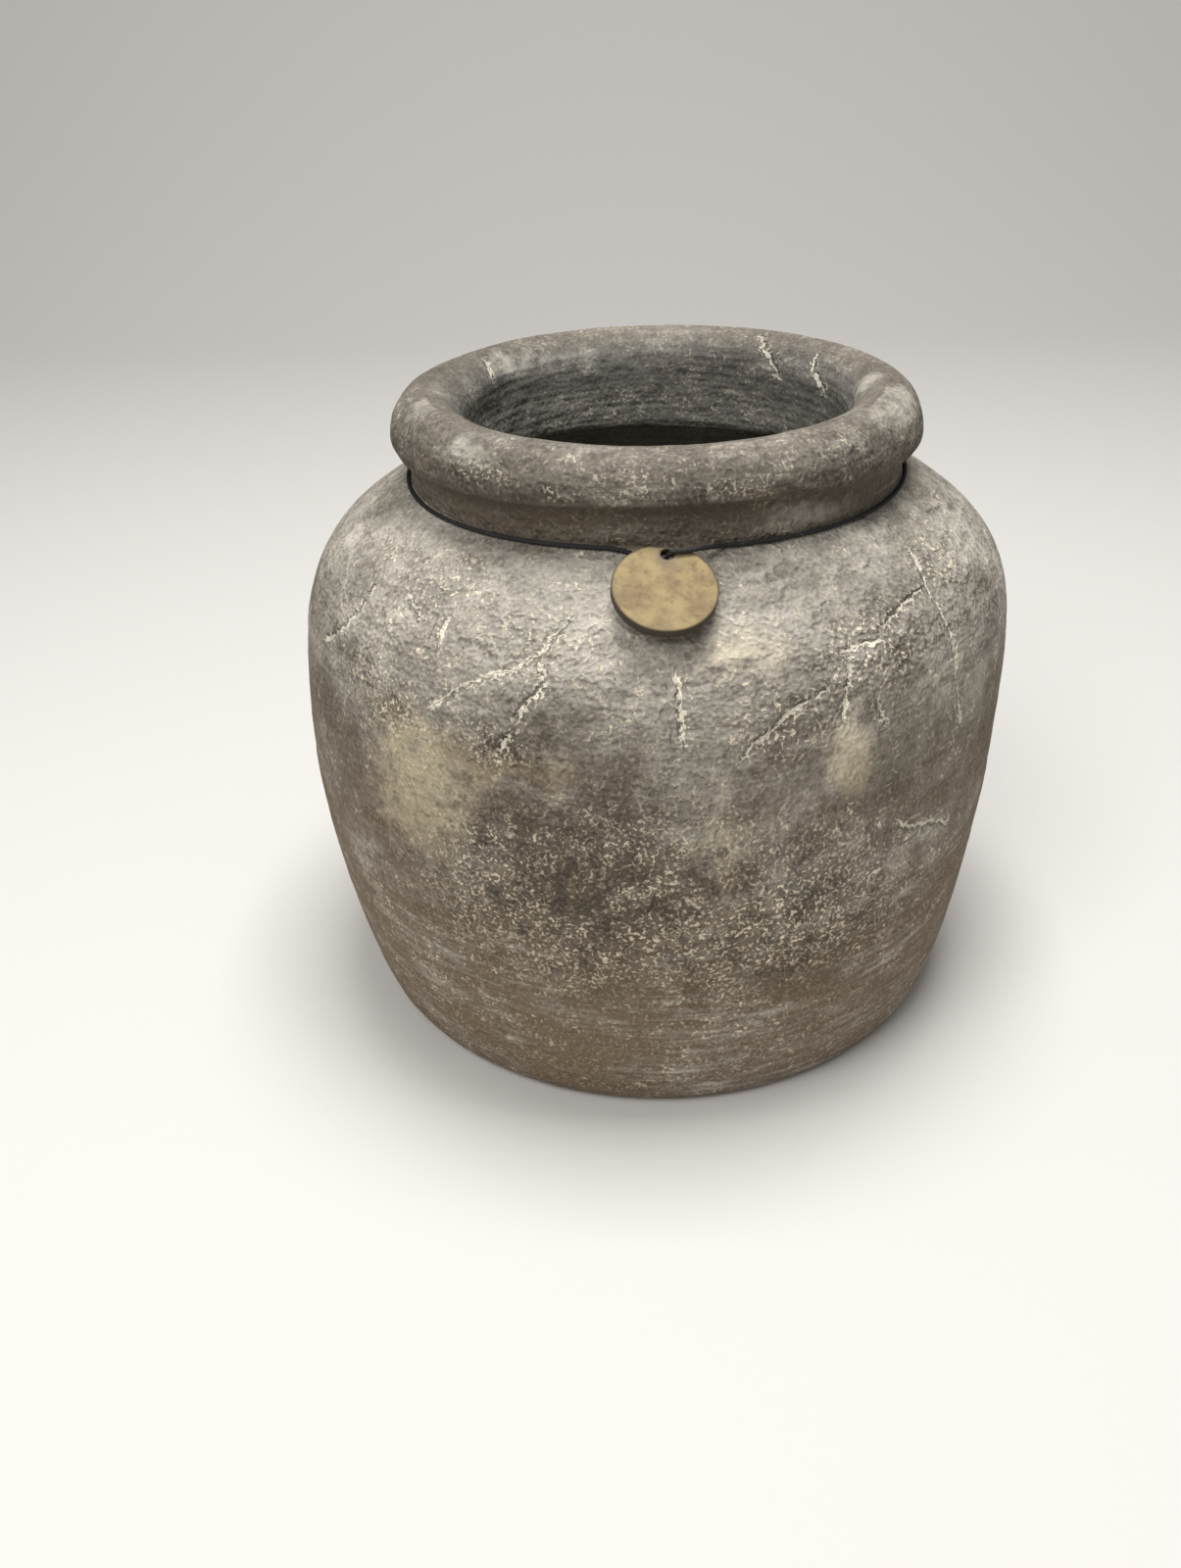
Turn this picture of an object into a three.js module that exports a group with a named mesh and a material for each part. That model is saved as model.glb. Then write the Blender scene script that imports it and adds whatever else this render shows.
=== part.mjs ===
// Wide-mouthed earthenware storage jar with a cord tied round its neck and a round tag threaded on the cord.
// Millimetres, +Z up. The foot stands on z = 0 and the widest part of the belly is centred on the Z axis.
// Azimuths are in degrees from +X towards +Y, so the front of the jar, where the tag hangs, is at -90.
import * as THREE from 'three';

// Jar, outside
const bellyRadius = 125;
const bellyHeight = 92.8;
const footRadius = 101.8;
const footEdgeRadius = 8.8;
const footEdgeTurn = 45;
const footEdgeReach = 11.5;
const bellyReachDown = 13.4;
const bellyReachUp = 73.6;
const creaseRadius = 82.8;
const creaseHeight = 193.4;
const shoulderReach = 46.3;
const shoulderSlope = 28.6;

// Jar, neck and rolled rim
const neckHeight = 13.4;
const neckWaist = 10.5;
const ledgeRadius = 86.7;
const ledgeBelowRim = 2;
const rimRadius = 76.2;
const rimHalfWidth = 12.7;
const rimHalfHeight = 13.6;

// Jar, inside
const wall = 10;
const floorThickness = 12;
const boreRadius = 62;
const boreEdgeBelowCrease = 6.9;
const boreEdgeRadius = 4;
const insideCornerRadius = 16;

// What the potter's hand left: foot and neck stand a little to one side of the belly, and the wall waves.
// Near the neck the wall is round again, and the crease and the ledge of the rim rise and fall.
const footOffset = 1.6;
const neckOffset = 2.7;
const roundBelowCrease = 25.4;
const wallWave = 0.6;
const wallWaveFade = 40;
const ovalTwist = 30;
const squareTwist = 22;
const creaseWave = 0.7;
const creaseWaveAzimuth = -92;
const ledgeWave = 1.3;
const ledgeWaveAzimuth = -78;
const pinchDepth = 1.5;
const pinchAzimuth = -42;
const pinchWidth = 11;
const creaseBand = 5;

// Cord
const cordDiameter = 1.6;
const cordClearance = 0.3;
const cordTail = 15;

// Tag: a disc with a flat on its upper edge, hung by a hole, tipped up and swung to the left by the cord
const tagDiameter = 30.6;
const tagThickness = 3;
const tagFlat = 1;
const holeDiameter = 3.6;
const holeEdge = 0.6;
const tagAzimuth = -87.9;
const tagStandOff = 7.6;
const tagSlope = 29.7;
const tagTip = 4.3;
const tagSwing = 5.1;
const tagSlack = 0.3;

// Fineness of the facets
const jarSides = 64;
const cordSides = 8;
const tagSides = 48;
const holeSides = 16;

const ledgeHeight = creaseHeight + neckHeight;
const rimHeight = ledgeHeight + ledgeBelowRim;
const roundAbove = creaseHeight - roundBelowCrease;

const radians = THREE.MathUtils.degToRad;
const smooth = (from, to, x) => THREE.MathUtils.smoothstep(x, from, to);
const point = (r, z) => new THREE.Vector2(r, z);
const heading = (degrees) => new THREE.Vector2(Math.cos(radians(degrees)), Math.sin(radians(degrees)));

function bezier(start, startReach, startHeading, end, endReach, endHeading) {
  const leave = start.clone().addScaledVector(heading(startHeading), startReach);
  const arrive = end.clone().addScaledVector(heading(endHeading), -endReach);
  return new THREE.CubicBezierCurve(start, leave, arrive, end);
}

// The outer shoulder, from the belly up to the crease under the neck.
const crease = point(creaseRadius, creaseHeight);
const shoulder = bezier(
  point(bellyRadius, bellyHeight), bellyReachUp, 90,
  crease, shoulderReach, 180 - shoulderSlope,
);

// How far the uneven crease and ledge lift the clay at an azimuth in radians and a height.
function clayLift(azimuth, height) {
  const crease = creaseWave * Math.cos(3 * (azimuth - radians(creaseWaveAzimuth)));
  const turn = azimuth - radians(pinchAzimuth);
  const fromPinch = Math.atan2(Math.sin(turn), Math.cos(turn));
  const pinch = pinchDepth * Math.exp(-((fromPinch / radians(pinchWidth)) ** 2));
  const ledge = ledgeWave * Math.cos(3 * (azimuth - radians(ledgeWaveAzimuth))) - pinch;
  const toCrease = smooth(roundAbove, creaseHeight, height);
  const toLedge = smooth(creaseHeight + creaseBand, ledgeHeight, height);
  const toRim = smooth(ledgeHeight, rimHeight + rimHalfHeight, height);
  return crease * toCrease * (1 - toLedge) + ledge * toLedge * (1 - toRim);
}

// Height of the shoulder's surface at a radius near the neck and an azimuth in radians.
function clayHeight(radius, azimuth) {
  let low = 0.4;
  let high = 1;
  for (let i = 0; i < 40; i += 1) {
    const middle = (low + high) / 2;
    if (shoulder.getPoint(middle).x > radius) low = middle;
    else high = middle;
  }
  const height = shoulder.getPoint(high).y;
  return height + clayLift(azimuth, height);
}

// One closed run from the centre of the foot, up the outside, over the rim and down the inside to the floor.
function jarProfile() {
  const footCentre = point(footRadius, footEdgeRadius);
  const footArc = new THREE.EllipseCurve(
    footCentre.x, footCentre.y, footEdgeRadius, footEdgeRadius,
    radians(-90), radians(footEdgeTurn - 90), false,
  );
  const footEnd = footArc.getPoint(1);
  const lowerWall = bezier(
    footEnd, footEdgeReach, footEdgeTurn,
    point(bellyRadius, bellyHeight), bellyReachDown, 90,
  );
  const ledge = point(ledgeRadius, ledgeHeight);
  const neck = new THREE.QuadraticBezierCurve(crease, point(creaseRadius, creaseHeight + neckWaist), ledge);
  const rimOuter = point(rimRadius + rimHalfWidth, rimHeight);
  const lip = new THREE.QuadraticBezierCurve(ledge, point(rimOuter.x, ledgeHeight), rimOuter);
  const roll = new THREE.EllipseCurve(
    rimRadius, rimHeight, rimHalfWidth, rimHalfHeight, 0, Math.PI, false,
  );
  const boreEnd = point(boreRadius, creaseHeight - boreEdgeBelowCrease + boreEdgeRadius);
  const bore = new THREE.LineCurve(point(rimRadius - rimHalfWidth, rimHeight), boreEnd);
  const boreEdge = new THREE.EllipseCurve(
    boreRadius + boreEdgeRadius, boreEnd.y, boreEdgeRadius, boreEdgeRadius,
    Math.PI, radians(270), false,
  );
  const insideBelly = point(bellyRadius - wall, bellyHeight);
  const underShoulder = bezier(
    boreEdge.getPoint(1), shoulderReach, 0,
    insideBelly, bellyReachUp - wall, 270,
  );
  const cornerTop = point(footRadius, floorThickness + insideCornerRadius);
  const insideWall = bezier(insideBelly, bellyReachDown, 270, cornerTop, footEdgeReach, 270);
  const corner = new THREE.EllipseCurve(
    cornerTop.x - insideCornerRadius, cornerTop.y, insideCornerRadius, insideCornerRadius,
    0, radians(-90), true,
  );
  const stretches = [
    [footArc, 4], [lowerWall, 7], [shoulder, 13], [neck, 5], [lip, 3], [roll, 14],
    [bore, 2], [boreEdge, 3], [underShoulder, 9], [insideWall, 4], [corner, 3],
  ];
  const points = [point(0, 0)];
  for (const [curve, steps] of stretches) {
    const run = curve.getPoints(steps);
    points.push(...(curve === footArc ? run : run.slice(1)));
  }
  points.push(point(0, floorThickness));
  return points;
}

// Moves a point of the perfectly round jar to where the thrown and leaning clay has it.
function asThrown(vertex) {
  const azimuth = Math.atan2(vertex.y, vertex.x);
  const { z } = vertex;
  const free = 1 - smooth(roundAbove - wallWaveFade, roundAbove, z);
  const wave = wallWave * free * smooth(0, bellyHeight, z)
    * (Math.cos(2 * azimuth + z / ovalTwist) + Math.cos(4 * azimuth - z / squareTwist)) / 2;
  const drift = z < bellyHeight
    ? footOffset * (1 - smooth(0, bellyHeight, z))
    : neckOffset * smooth(bellyHeight, roundAbove, z);
  const radius = Math.hypot(vertex.x, vertex.y);
  const grow = radius > 0 ? (radius + wave) / radius : 1;
  vertex.x = vertex.x * grow + drift;
  vertex.y *= grow;
  vertex.z += clayLift(azimuth, z);
  return vertex;
}

function jarGeometry() {
  const geometry = new THREE.LatheGeometry(jarProfile(), jarSides);
  geometry.rotateX(Math.PI / 2);
  const positions = geometry.attributes.position;
  const vertex = new THREE.Vector3();
  for (let i = 0; i < positions.count; i += 1) {
    asThrown(vertex.fromBufferAttribute(positions, i));
    positions.setXYZ(i, vertex.x, vertex.y, vertex.z);
  }
  geometry.computeVertexNormals();
  return geometry;
}

// The tag's own frame: origin at the middle of its hole, x along the neck, y up the shoulder, z off its face.
const cordRadius = cordDiameter / 2;
const overTag = tagThickness / 2 + cordClearance + cordRadius;
const overClay = overTag + cordRadius + cordClearance + tagSlack;
const holeReach = creaseRadius + tagStandOff;
const tagPivot = new THREE.Vector3(
  0, -holeReach, clayHeight(holeReach, radians(tagAzimuth)) + overClay / Math.cos(radians(tagSlope)),
);
const tagTilt = new THREE.Euler(radians(tagSlope), radians(tagTip), 0, 'XYZ');

function fromTag(x, y, z) {
  const local = new THREE.Vector3(x, y, z).applyEuler(tagTilt);
  return local.add(tagPivot).applyAxisAngle(new THREE.Vector3(0, 0, 1), radians(tagAzimuth + 90));
}

// The disc's outline runs round from one end of its flat to the other, and the flat closes it.
function tagGeometry() {
  const radius = tagDiameter / 2;
  const centreY = -(radius - tagFlat - holeEdge - holeDiameter / 2);
  const flatAngle = Math.asin((radius - tagFlat) / radius);
  const arc = (x, y, r, from, to, sides) => Array.from({ length: sides }, (_, i) => {
    const angle = from + ((to - from) * i) / (sides - 1);
    return new THREE.Vector2(x + r * Math.cos(angle), y + r * Math.sin(angle));
  });
  const outline = arc(0, centreY, radius, Math.PI - flatAngle, 2 * Math.PI + flatAngle, tagSides);
  const hole = arc(0, 0, holeDiameter / 2, 2 * Math.PI, 2 * Math.PI / holeSides, holeSides);
  const disc = new THREE.Shape(outline);
  disc.holes.push(new THREE.Path(hole));
  const geometry = new THREE.ExtrudeGeometry(disc, { depth: tagThickness, bevelEnabled: false });
  geometry.translate(0, 0, -tagThickness / 2);
  return geometry.rotateZ(radians(-tagSwing));
}

// A point off the clay of the shoulder, from a place at an azimuth and a radius: x runs along the neck
// and y up the shoulder.
function offShoulder(azimuth, reach, x, y, lift) {
  const slope = radians(shoulderSlope);
  const radius = reach - y * Math.cos(slope);
  const angle = radians(azimuth) + x / reach;
  const out = radius + lift * Math.sin(slope);
  const height = clayHeight(radius, angle) + lift * Math.cos(slope);
  return new THREE.Vector3(out * Math.cos(angle), out * Math.sin(angle), height);
}

// Where the cord lies in the groove between shoulder and neck.
const cordLift = cordRadius + cordClearance;
const grooveMargin = 0.1;
const grooveReach = creaseRadius + cordLift * (1 - Math.sin(radians(shoulderSlope))) + grooveMargin;
const inGroove = (azimuth) => offShoulder(azimuth, grooveReach, 0, 0, cordLift);

// Through the tag: over the clay and in under its left shoulder, up through the hole, and over its right
// shoulder straight back to the groove.
const leaveTag = 12;

function threadStations() {
  const onClay = [[-13, 7], [-10.4, 6], [-7.8, 4.5], [-5.2, 2.5]];
  const inHole = [[2.4, 0.1, overTag + 0.06], [1.2, 0, overTag * 0.93], [0.62, 0, overTag * 0.55]];
  const overEdge = [[4.3, 0.2, overTag + 0.06], [6.5, 0.6, overTag + 0.06], [8.6, 1.2, overTag]];
  const backToGroove = [0.18, 0.45, 0.73];
  const edge = fromTag(...overEdge.at(-1));
  return [
    ...onClay.map(([x, y]) => offShoulder(tagAzimuth, holeReach, x, y, cordLift)),
    ...inHole.map(([x, y, z]) => fromTag(-x, y, -z)),
    fromTag(0, 0, 0),
    ...[...inHole].reverse().concat(overEdge).map(([x, y, z]) => fromTag(x, y, z)),
    ...backToGroove.map((share) => edge.clone().lerp(inGroove(tagAzimuth + leaveTag), share)),
  ];
}

// The reef knot at the back, lying on the shoulder: two bights, each round the other's two legs.
const knotAzimuth = 90;
const knotNarrow = 1.06;
const knotWide = 3.1;
const knotHalfLength = 5;
const knotCrossing = 2.2;
const knotLayer = 1.05;
const knotBelowGroove = 4.3;
const knotReach = grooveReach + knotBelowGroove;
const fromKnot = (x, y, z) => offShoulder(knotAzimuth, knotReach, -x, y, cordLift + knotLayer + z);

// One bight, from its tail to its standing part. side is -1 where the strand comes in from -x, and 1 from +x.
// The strand from -x passes under the other bight's bend, and the strand from +x over it.
function bightStations(side) {
  const layer = (x) => -side * knotLayer * Math.cos((Math.PI * x) / knotHalfLength);
  const spread = (x) => THREE.MathUtils.lerp(knotNarrow, knotWide, smooth(-knotCrossing, knotCrossing, x));
  const settled = (x) => THREE.MathUtils.lerp(layer(knotHalfLength), -knotLayer, smooth(7.4, 11.5, -x));
  const legs = [-5, -3.75, -2.5, -1.25, 0, 1.25, 2.5];
  const turnFrom = 2.9;
  const turn = [-60, -30, 0, 30, 60].map((a) => [
    turnFrom + knotWide * Math.cos(radians(a)), knotWide * Math.sin(radians(a)),
  ]);
  const tail = [[-7 - cordTail * 0.75, -5.6], [-7 - cordTail * 0.4, -3.4], [-9.4, -2.1], [-7.1, -1.3]];
  const lead = [[-7.1, 1.3], [-9.4, 2], [-12.4, 3.3]];
  const outside = (ends) => ends.map(([x, y]) => [x, y, settled(x)]);
  const lower = legs.map((x) => [x, -spread(x), layer(x)]);
  const bend = turn.map(([x, y]) => [x, y, layer(Math.min(x, knotHalfLength))]);
  const upper = legs.map((x) => [x, spread(x), layer(x)]).reverse();
  const strand = [...outside(tail), ...lower, ...bend, ...upper, ...outside(lead)];
  return strand.map(([x, y, z]) => fromKnot(-side * x, y, z));
}

function cordStations() {
  const leaveKnot = 12;
  const settle = 2;
  const around = (from, to, count) => Array.from(
    { length: count }, (_, i) => inGroove(THREE.MathUtils.lerp(from, to, i / (count - 1))),
  );
  const between = (from, to) => [inGroove(from), ...around(from + settle, to - settle, 30), inGroove(to)];
  return [
    ...bightStations(-1),
    ...between(knotAzimuth + leaveKnot, 360 + tagAzimuth - leaveTag),
    ...threadStations(),
    ...between(tagAzimuth + leaveTag, knotAzimuth - leaveKnot),
    ...bightStations(1).reverse(),
  ];
}

// A line through stations that lie close together where it bends and far apart where it is easy.
class CordLine extends THREE.Curve {
  constructor(stations) {
    super();
    this.line = new THREE.CatmullRomCurve3(stations, false, 'centripetal');
  }

  getPoint(share, target = new THREE.Vector3()) {
    return this.line.getPoint(share, target);
  }

  getPointAt(share, target) {
    return this.getPoint(share, target);
  }

  getTangentAt(share, target) {
    return this.getTangent(share, target);
  }
}

function cordGeometry() {
  const stations = cordStations();
  const line = new CordLine(stations);
  const section = new THREE.Shape();
  for (let i = 0; i < cordSides; i += 1) {
    const angle = (2 * Math.PI * i) / cordSides;
    section[i ? 'lineTo' : 'moveTo'](cordRadius * Math.cos(angle), cordRadius * Math.sin(angle));
  }
  section.closePath();
  const steps = stations.length - 1;
  const geometry = new THREE.ExtrudeGeometry(section, { steps, extrudePath: line });
  return geometry.translate(neckOffset, 0, 0);
}

// The least gap between stretches of the cord that lie more than a few diameters apart along it.
function leastCordGap() {
  const line = new CordLine(cordStations());
  const points = line.line.getSpacedPoints(1600);
  const spacing = line.line.getLength() / 1600;
  const apart = Math.ceil((3 * cordDiameter) / spacing);
  let least = Infinity;
  for (let i = 0; i < points.length; i += 1) {
    for (let j = i + apart; j < points.length; j += 1) {
      least = Math.min(least, points[i].distanceTo(points[j]) - cordDiameter);
    }
  }
  return { length: line.line.getLength(), gap: least };
}

const clay = new THREE.MeshStandardMaterial({ color: 0x78746d, roughness: 0.95, metalness: 0 });
const blackCord = new THREE.MeshStandardMaterial({ color: 0x17151a, roughness: 0.7, metalness: 0 });
const tanBoard = new THREE.MeshStandardMaterial({ color: 0xb59a62, roughness: 0.75, metalness: 0 });

function piece(name, geometry, material) {
  const mesh = new THREE.Mesh(geometry, material);
  mesh.name = name;
  return mesh;
}

const vessel = piece('vessel', jarGeometry(), clay);
const neckCord = piece('neck_cord', cordGeometry(), blackCord);
const tag = piece('tag', tagGeometry(), tanBoard);

const swungTag = new THREE.Group();
swungTag.rotation.copy(tagTilt);
swungTag.position.copy(tagPivot);
swungTag.add(tag);

const neckAxis = new THREE.Group();
neckAxis.position.x = neckOffset;
neckAxis.rotation.z = radians(tagAzimuth + 90);
neckAxis.add(swungTag);

const jar = new THREE.Group();
jar.add(vessel, neckCord, neckAxis);

const cord = leastCordGap();
console.log(`cord ${cord.length.toFixed(1)} mm long, least gap to itself ${cord.gap.toFixed(2)} mm`);
console.log(`tag pivot ${tagPivot.toArray().map((x) => x.toFixed(2))}`);

export default jar;
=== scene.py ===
# %% [markdown]
# # An earthenware storage jar with a tag on a cord
# The real object is three pieces: a jar thrown on a wheel and left unglazed, a thin black cord
# tied round its neck, and a round tag that the cord passes through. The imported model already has
# the three pieces at their real size. This lesson gives each of them its surface, in metres and
# in the same frame, and never moves or resizes them.

# %% Load the frame and keep its box
import math
from functools import partialmethod

import bmesh
import bpy
import numpy as np
from mathutils import Matrix, Vector
from mathutils.geometry import delaunay_2d_cdt


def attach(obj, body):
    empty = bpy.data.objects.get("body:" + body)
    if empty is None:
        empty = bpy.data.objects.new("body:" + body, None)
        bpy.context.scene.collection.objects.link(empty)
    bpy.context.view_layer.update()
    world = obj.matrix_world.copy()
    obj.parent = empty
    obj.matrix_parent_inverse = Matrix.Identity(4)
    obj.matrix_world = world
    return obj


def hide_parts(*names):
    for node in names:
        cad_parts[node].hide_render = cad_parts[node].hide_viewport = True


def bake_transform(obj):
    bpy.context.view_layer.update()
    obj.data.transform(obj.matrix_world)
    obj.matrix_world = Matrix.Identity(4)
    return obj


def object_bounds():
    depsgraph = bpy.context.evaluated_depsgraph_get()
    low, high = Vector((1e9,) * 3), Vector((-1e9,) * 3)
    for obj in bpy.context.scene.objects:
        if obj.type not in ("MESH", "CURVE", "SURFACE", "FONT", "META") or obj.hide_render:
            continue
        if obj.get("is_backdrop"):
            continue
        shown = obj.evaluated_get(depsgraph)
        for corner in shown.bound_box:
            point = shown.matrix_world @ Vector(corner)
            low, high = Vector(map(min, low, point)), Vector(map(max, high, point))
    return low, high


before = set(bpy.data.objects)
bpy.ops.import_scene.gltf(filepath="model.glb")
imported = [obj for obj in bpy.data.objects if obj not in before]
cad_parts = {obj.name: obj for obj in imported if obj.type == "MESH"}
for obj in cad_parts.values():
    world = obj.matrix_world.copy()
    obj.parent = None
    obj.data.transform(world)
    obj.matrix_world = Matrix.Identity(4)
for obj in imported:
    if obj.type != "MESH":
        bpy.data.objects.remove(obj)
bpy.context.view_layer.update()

MM = 0.001
scene = bpy.context.scene

# %% [markdown]
# ## The camera
# The photograph looks at the front from above the rim, down about 31 degrees. The place and
# angles below put the rim, the crease under the neck, the belly and the foot of the model close
# to where the photograph has them. A camera in Blender looks along its own -Z, so its matrix
# is built from the three directions right, up and back.

# %% Camera
PHOTO_LONG_SIDE = 1600
PHOTO_SHORT_SIDE = 1205
FOCAL_LENGTH_IN_PIXELS = 1406.8
SENSOR_LONG_SIDE = 36.0
CAMERA_PLACE = Vector((2.7, -462.9, 341.6)) * MM
CAMERA_PITCH_DOWN = math.radians(30.82)
CAMERA_TURN_LEFT = math.radians(3.18)
CAMERA_ROLL = math.radians(-1.94)


def add_camera():
    level = Vector((-math.sin(CAMERA_TURN_LEFT), math.cos(CAMERA_TURN_LEFT), 0))
    forward = level * math.cos(CAMERA_PITCH_DOWN) - Vector((0, 0, math.sin(CAMERA_PITCH_DOWN)))
    side = forward.cross(Vector((0, 0, 1))).normalized()
    over = side.cross(forward)
    right = side * math.cos(CAMERA_ROLL) + over * math.sin(CAMERA_ROLL)
    up = over * math.cos(CAMERA_ROLL) - side * math.sin(CAMERA_ROLL)
    data = bpy.data.cameras.new("photo camera")
    data.sensor_width = SENSOR_LONG_SIDE
    data.lens = FOCAL_LENGTH_IN_PIXELS * SENSOR_LONG_SIDE / PHOTO_LONG_SIDE
    camera = bpy.data.objects.new("photo camera", data)
    turn = Matrix((right, up, -forward)).transposed().to_4x4()
    camera.matrix_world = Matrix.Translation(CAMERA_PLACE) @ turn
    scene.collection.objects.link(camera)
    scene.camera = camera
    return camera


camera = add_camera()
print("lens", round(camera.data.lens, 2), "mm")

# %% [markdown]
# ## Node trees written as arithmetic
# Materials and Geometry Nodes are both trees of small nodes. Wired by hand in code they are hard
# to read, so a Socket wraps one output and overloads Python's operators: 1 - mask adds a Math
# node by itself. A Tree makes every other node with one method, node(), which takes the type,
# the values or links of its inputs, and its settings, which are set first. Numbers gives plain
# numbers the same names, so that one rule of shape can serve a node tree and a NumPy array.

# %% Sockets, trees and plain numbers
class Socket:
    """An output of a node, on which Python's arithmetic adds Math nodes."""

    def __init__(self, tree, output):
        self.tree = tree
        self.output = output

    def __getitem__(self, name):
        return Socket(self.tree, self.output.node.outputs[name])

    def __neg__(self):
        return self.tree.math("MULTIPLY", self, -1.0)


def add_operator(name, operation):
    """Gives Socket one operator, for a socket on the left and for one on the right."""
    setattr(Socket, f"__{name}__", lambda self, other: self.tree.math(operation, self, other))
    setattr(Socket, f"__r{name}__", lambda self, other: self.tree.math(operation, other, self))


add_operator("add", "ADD")
add_operator("sub", "SUBTRACT")
add_operator("mul", "MULTIPLY")
add_operator("truediv", "DIVIDE")


class Tree:
    """A node tree whose nodes are made by expressions."""

    def __init__(self, node_tree):
        self.node_tree = node_tree

    def node(self, kind, inputs=(), output=0, **settings):
        made = self.node_tree.nodes.new(kind)
        stops = settings.pop("stops", None)
        for name, value in settings.items():
            setattr(made, name, value)
        if stops:
            ramp = made.color_ramp.elements
            while len(ramp) < len(stops):
                ramp.new(0.5)
            for element, (position, colour) in zip(ramp, stops):
                element.position = position
                element.color = (*colour, 1.0)
        pairs = inputs.items() if isinstance(inputs, dict) else enumerate(inputs)
        for key, value in pairs:
            if isinstance(value, Socket):
                self.node_tree.links.new(value.output, made.inputs[key])
            else:
                made.inputs[key].default_value = value
        return Socket(self, made.outputs[output]) if made.outputs else None

    def math(self, operation, *values):
        return self.node("ShaderNodeMath", values, operation=operation)

    def vector(self, operation, *values, output="Vector"):
        return self.node("ShaderNodeVectorMath", values, output, operation=operation)

    def scaled(self, vector, factor):
        return self.node("ShaderNodeVectorMath", {"Vector": vector, "Scale": factor}, operation="SCALE")

    def smooth(self, low, high, x):
        limits = {"Value": x, 1: low, 2: high}
        return self.node("ShaderNodeMapRange", limits, interpolation_type="SMOOTHSTEP")

    def noise(self, point, size, detail=2.0, roughness=0.5, output="Fac"):
        values = {"Vector": point, "Scale": 1 / size, "Detail": detail, "Roughness": roughness}
        return self.node("ShaderNodeTexNoise", values, output)

    def mix(self, share, first, second):
        """Two colours mixed: all first where share is 0, all second where it is 1."""
        values = {0: share}
        for key, colour in ((6, first), (7, second)):
            values[key] = colour if isinstance(colour, Socket) else (*colour, 1.0)
        return self.node("ShaderNodeMix", values, output=2, data_type="RGBA")


MATHS = {
    "cos": "COSINE",
    "sin": "SINE",
    "exp": "EXPONENT",
    "absolute": "ABSOLUTE",
    "most": "MAXIMUM",
    "least": "MINIMUM",
    "angle": "ARCTAN2",
}
for name, operation in MATHS.items():
    setattr(Tree, name, partialmethod(Tree.math, operation))


class Numbers:
    """Plain numbers under the names that a Tree uses."""

    cos = staticmethod(np.cos)
    sin = staticmethod(np.sin)
    exp = staticmethod(np.exp)
    angle = staticmethod(np.arctan2)

    @staticmethod
    def smooth(low, high, x):
        share = np.clip((x - low) / (high - low), 0, 1)
        return share * share * (3 - 2 * share)


# %% [markdown]
# A Geometry Nodes tree gets its sizes as named inputs. A modifier knows an input by the socket's
# identifier, not by its name, and takes its values before the object is first evaluated. Once
# evaluated, the result is kept as a plain mesh and the modifier goes.

# %% Geometry Nodes helpers
def geometry_tree(name, sizes):
    """A Tree with a geometry input and one named input for each size, and the inputs by name."""
    group = bpy.data.node_groups.new(name, "GeometryNodeTree")
    group.interface.new_socket("Geometry", in_out="INPUT", socket_type="NodeSocketGeometry")
    group.interface.new_socket("Geometry", in_out="OUTPUT", socket_type="NodeSocketGeometry")
    for label, value in sizes.items():
        kind = "NodeSocketInt" if isinstance(value, int) else "NodeSocketFloat"
        group.interface.new_socket(label, in_out="INPUT", socket_type=kind)
    tree = Tree(group)
    first = tree.node("NodeGroupInput")
    return tree, {socket.name: first[socket.name] for socket in first.output.node.outputs if socket.name}


def finish_tree(tree, geometry, material):
    """Ends a tree as every tree here ends: smooth, real geometry with its material."""
    smooth = tree.node("GeometryNodeSetShadeSmooth", {"Geometry": geometry})
    real = tree.node("GeometryNodeRealizeInstances", [smooth])
    dressed = tree.node("GeometryNodeSetMaterial", {"Geometry": real, "Material": material})
    tree.node_tree.links.new(dressed.output, tree.node_tree.nodes.new("NodeGroupOutput").inputs[0])


def run_tree(tree, sizes, source, name):
    """Runs a tree on a source mesh and returns the result as a plain mesh."""
    seed = bpy.data.objects.new("seed", source)
    scene.collection.objects.link(seed)
    modifier = seed.modifiers.new(tree.node_tree.name, "NODES")
    modifier.node_group = tree.node_tree
    for item in tree.node_tree.interface.items_tree:
        if item.in_out == "INPUT" and item.name in sizes:
            modifier[item.identifier] = sizes[item.name]
    graph = bpy.context.evaluated_depsgraph_get()
    mesh = bpy.data.meshes.new_from_object(
        seed.evaluated_get(graph), preserve_all_data_layers=True, depsgraph=graph)
    bpy.data.objects.remove(seed)
    mesh.name = name
    print(name, len(mesh.vertices), "points,", sum(len(p.vertices) - 2 for p in mesh.polygons), "triangles")
    return mesh


def add_piece(name, mesh, stands_for):
    """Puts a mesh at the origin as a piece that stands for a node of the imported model."""
    piece = bpy.data.objects.new(name, mesh)
    scene.collection.objects.link(piece)
    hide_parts(stands_for)
    return piece


# %% [markdown]
# ## The profile of the jar
# A thrown jar is a profile turned about an axis. The profile runs from the middle of the foot up
# the outside, over the rolled rim and down the inside to the floor. Its stretches are arcs and
# Bezier curves between a few real dimensions, in millimetres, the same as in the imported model,
# but with many more points, because the fine surface is made here.

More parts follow.
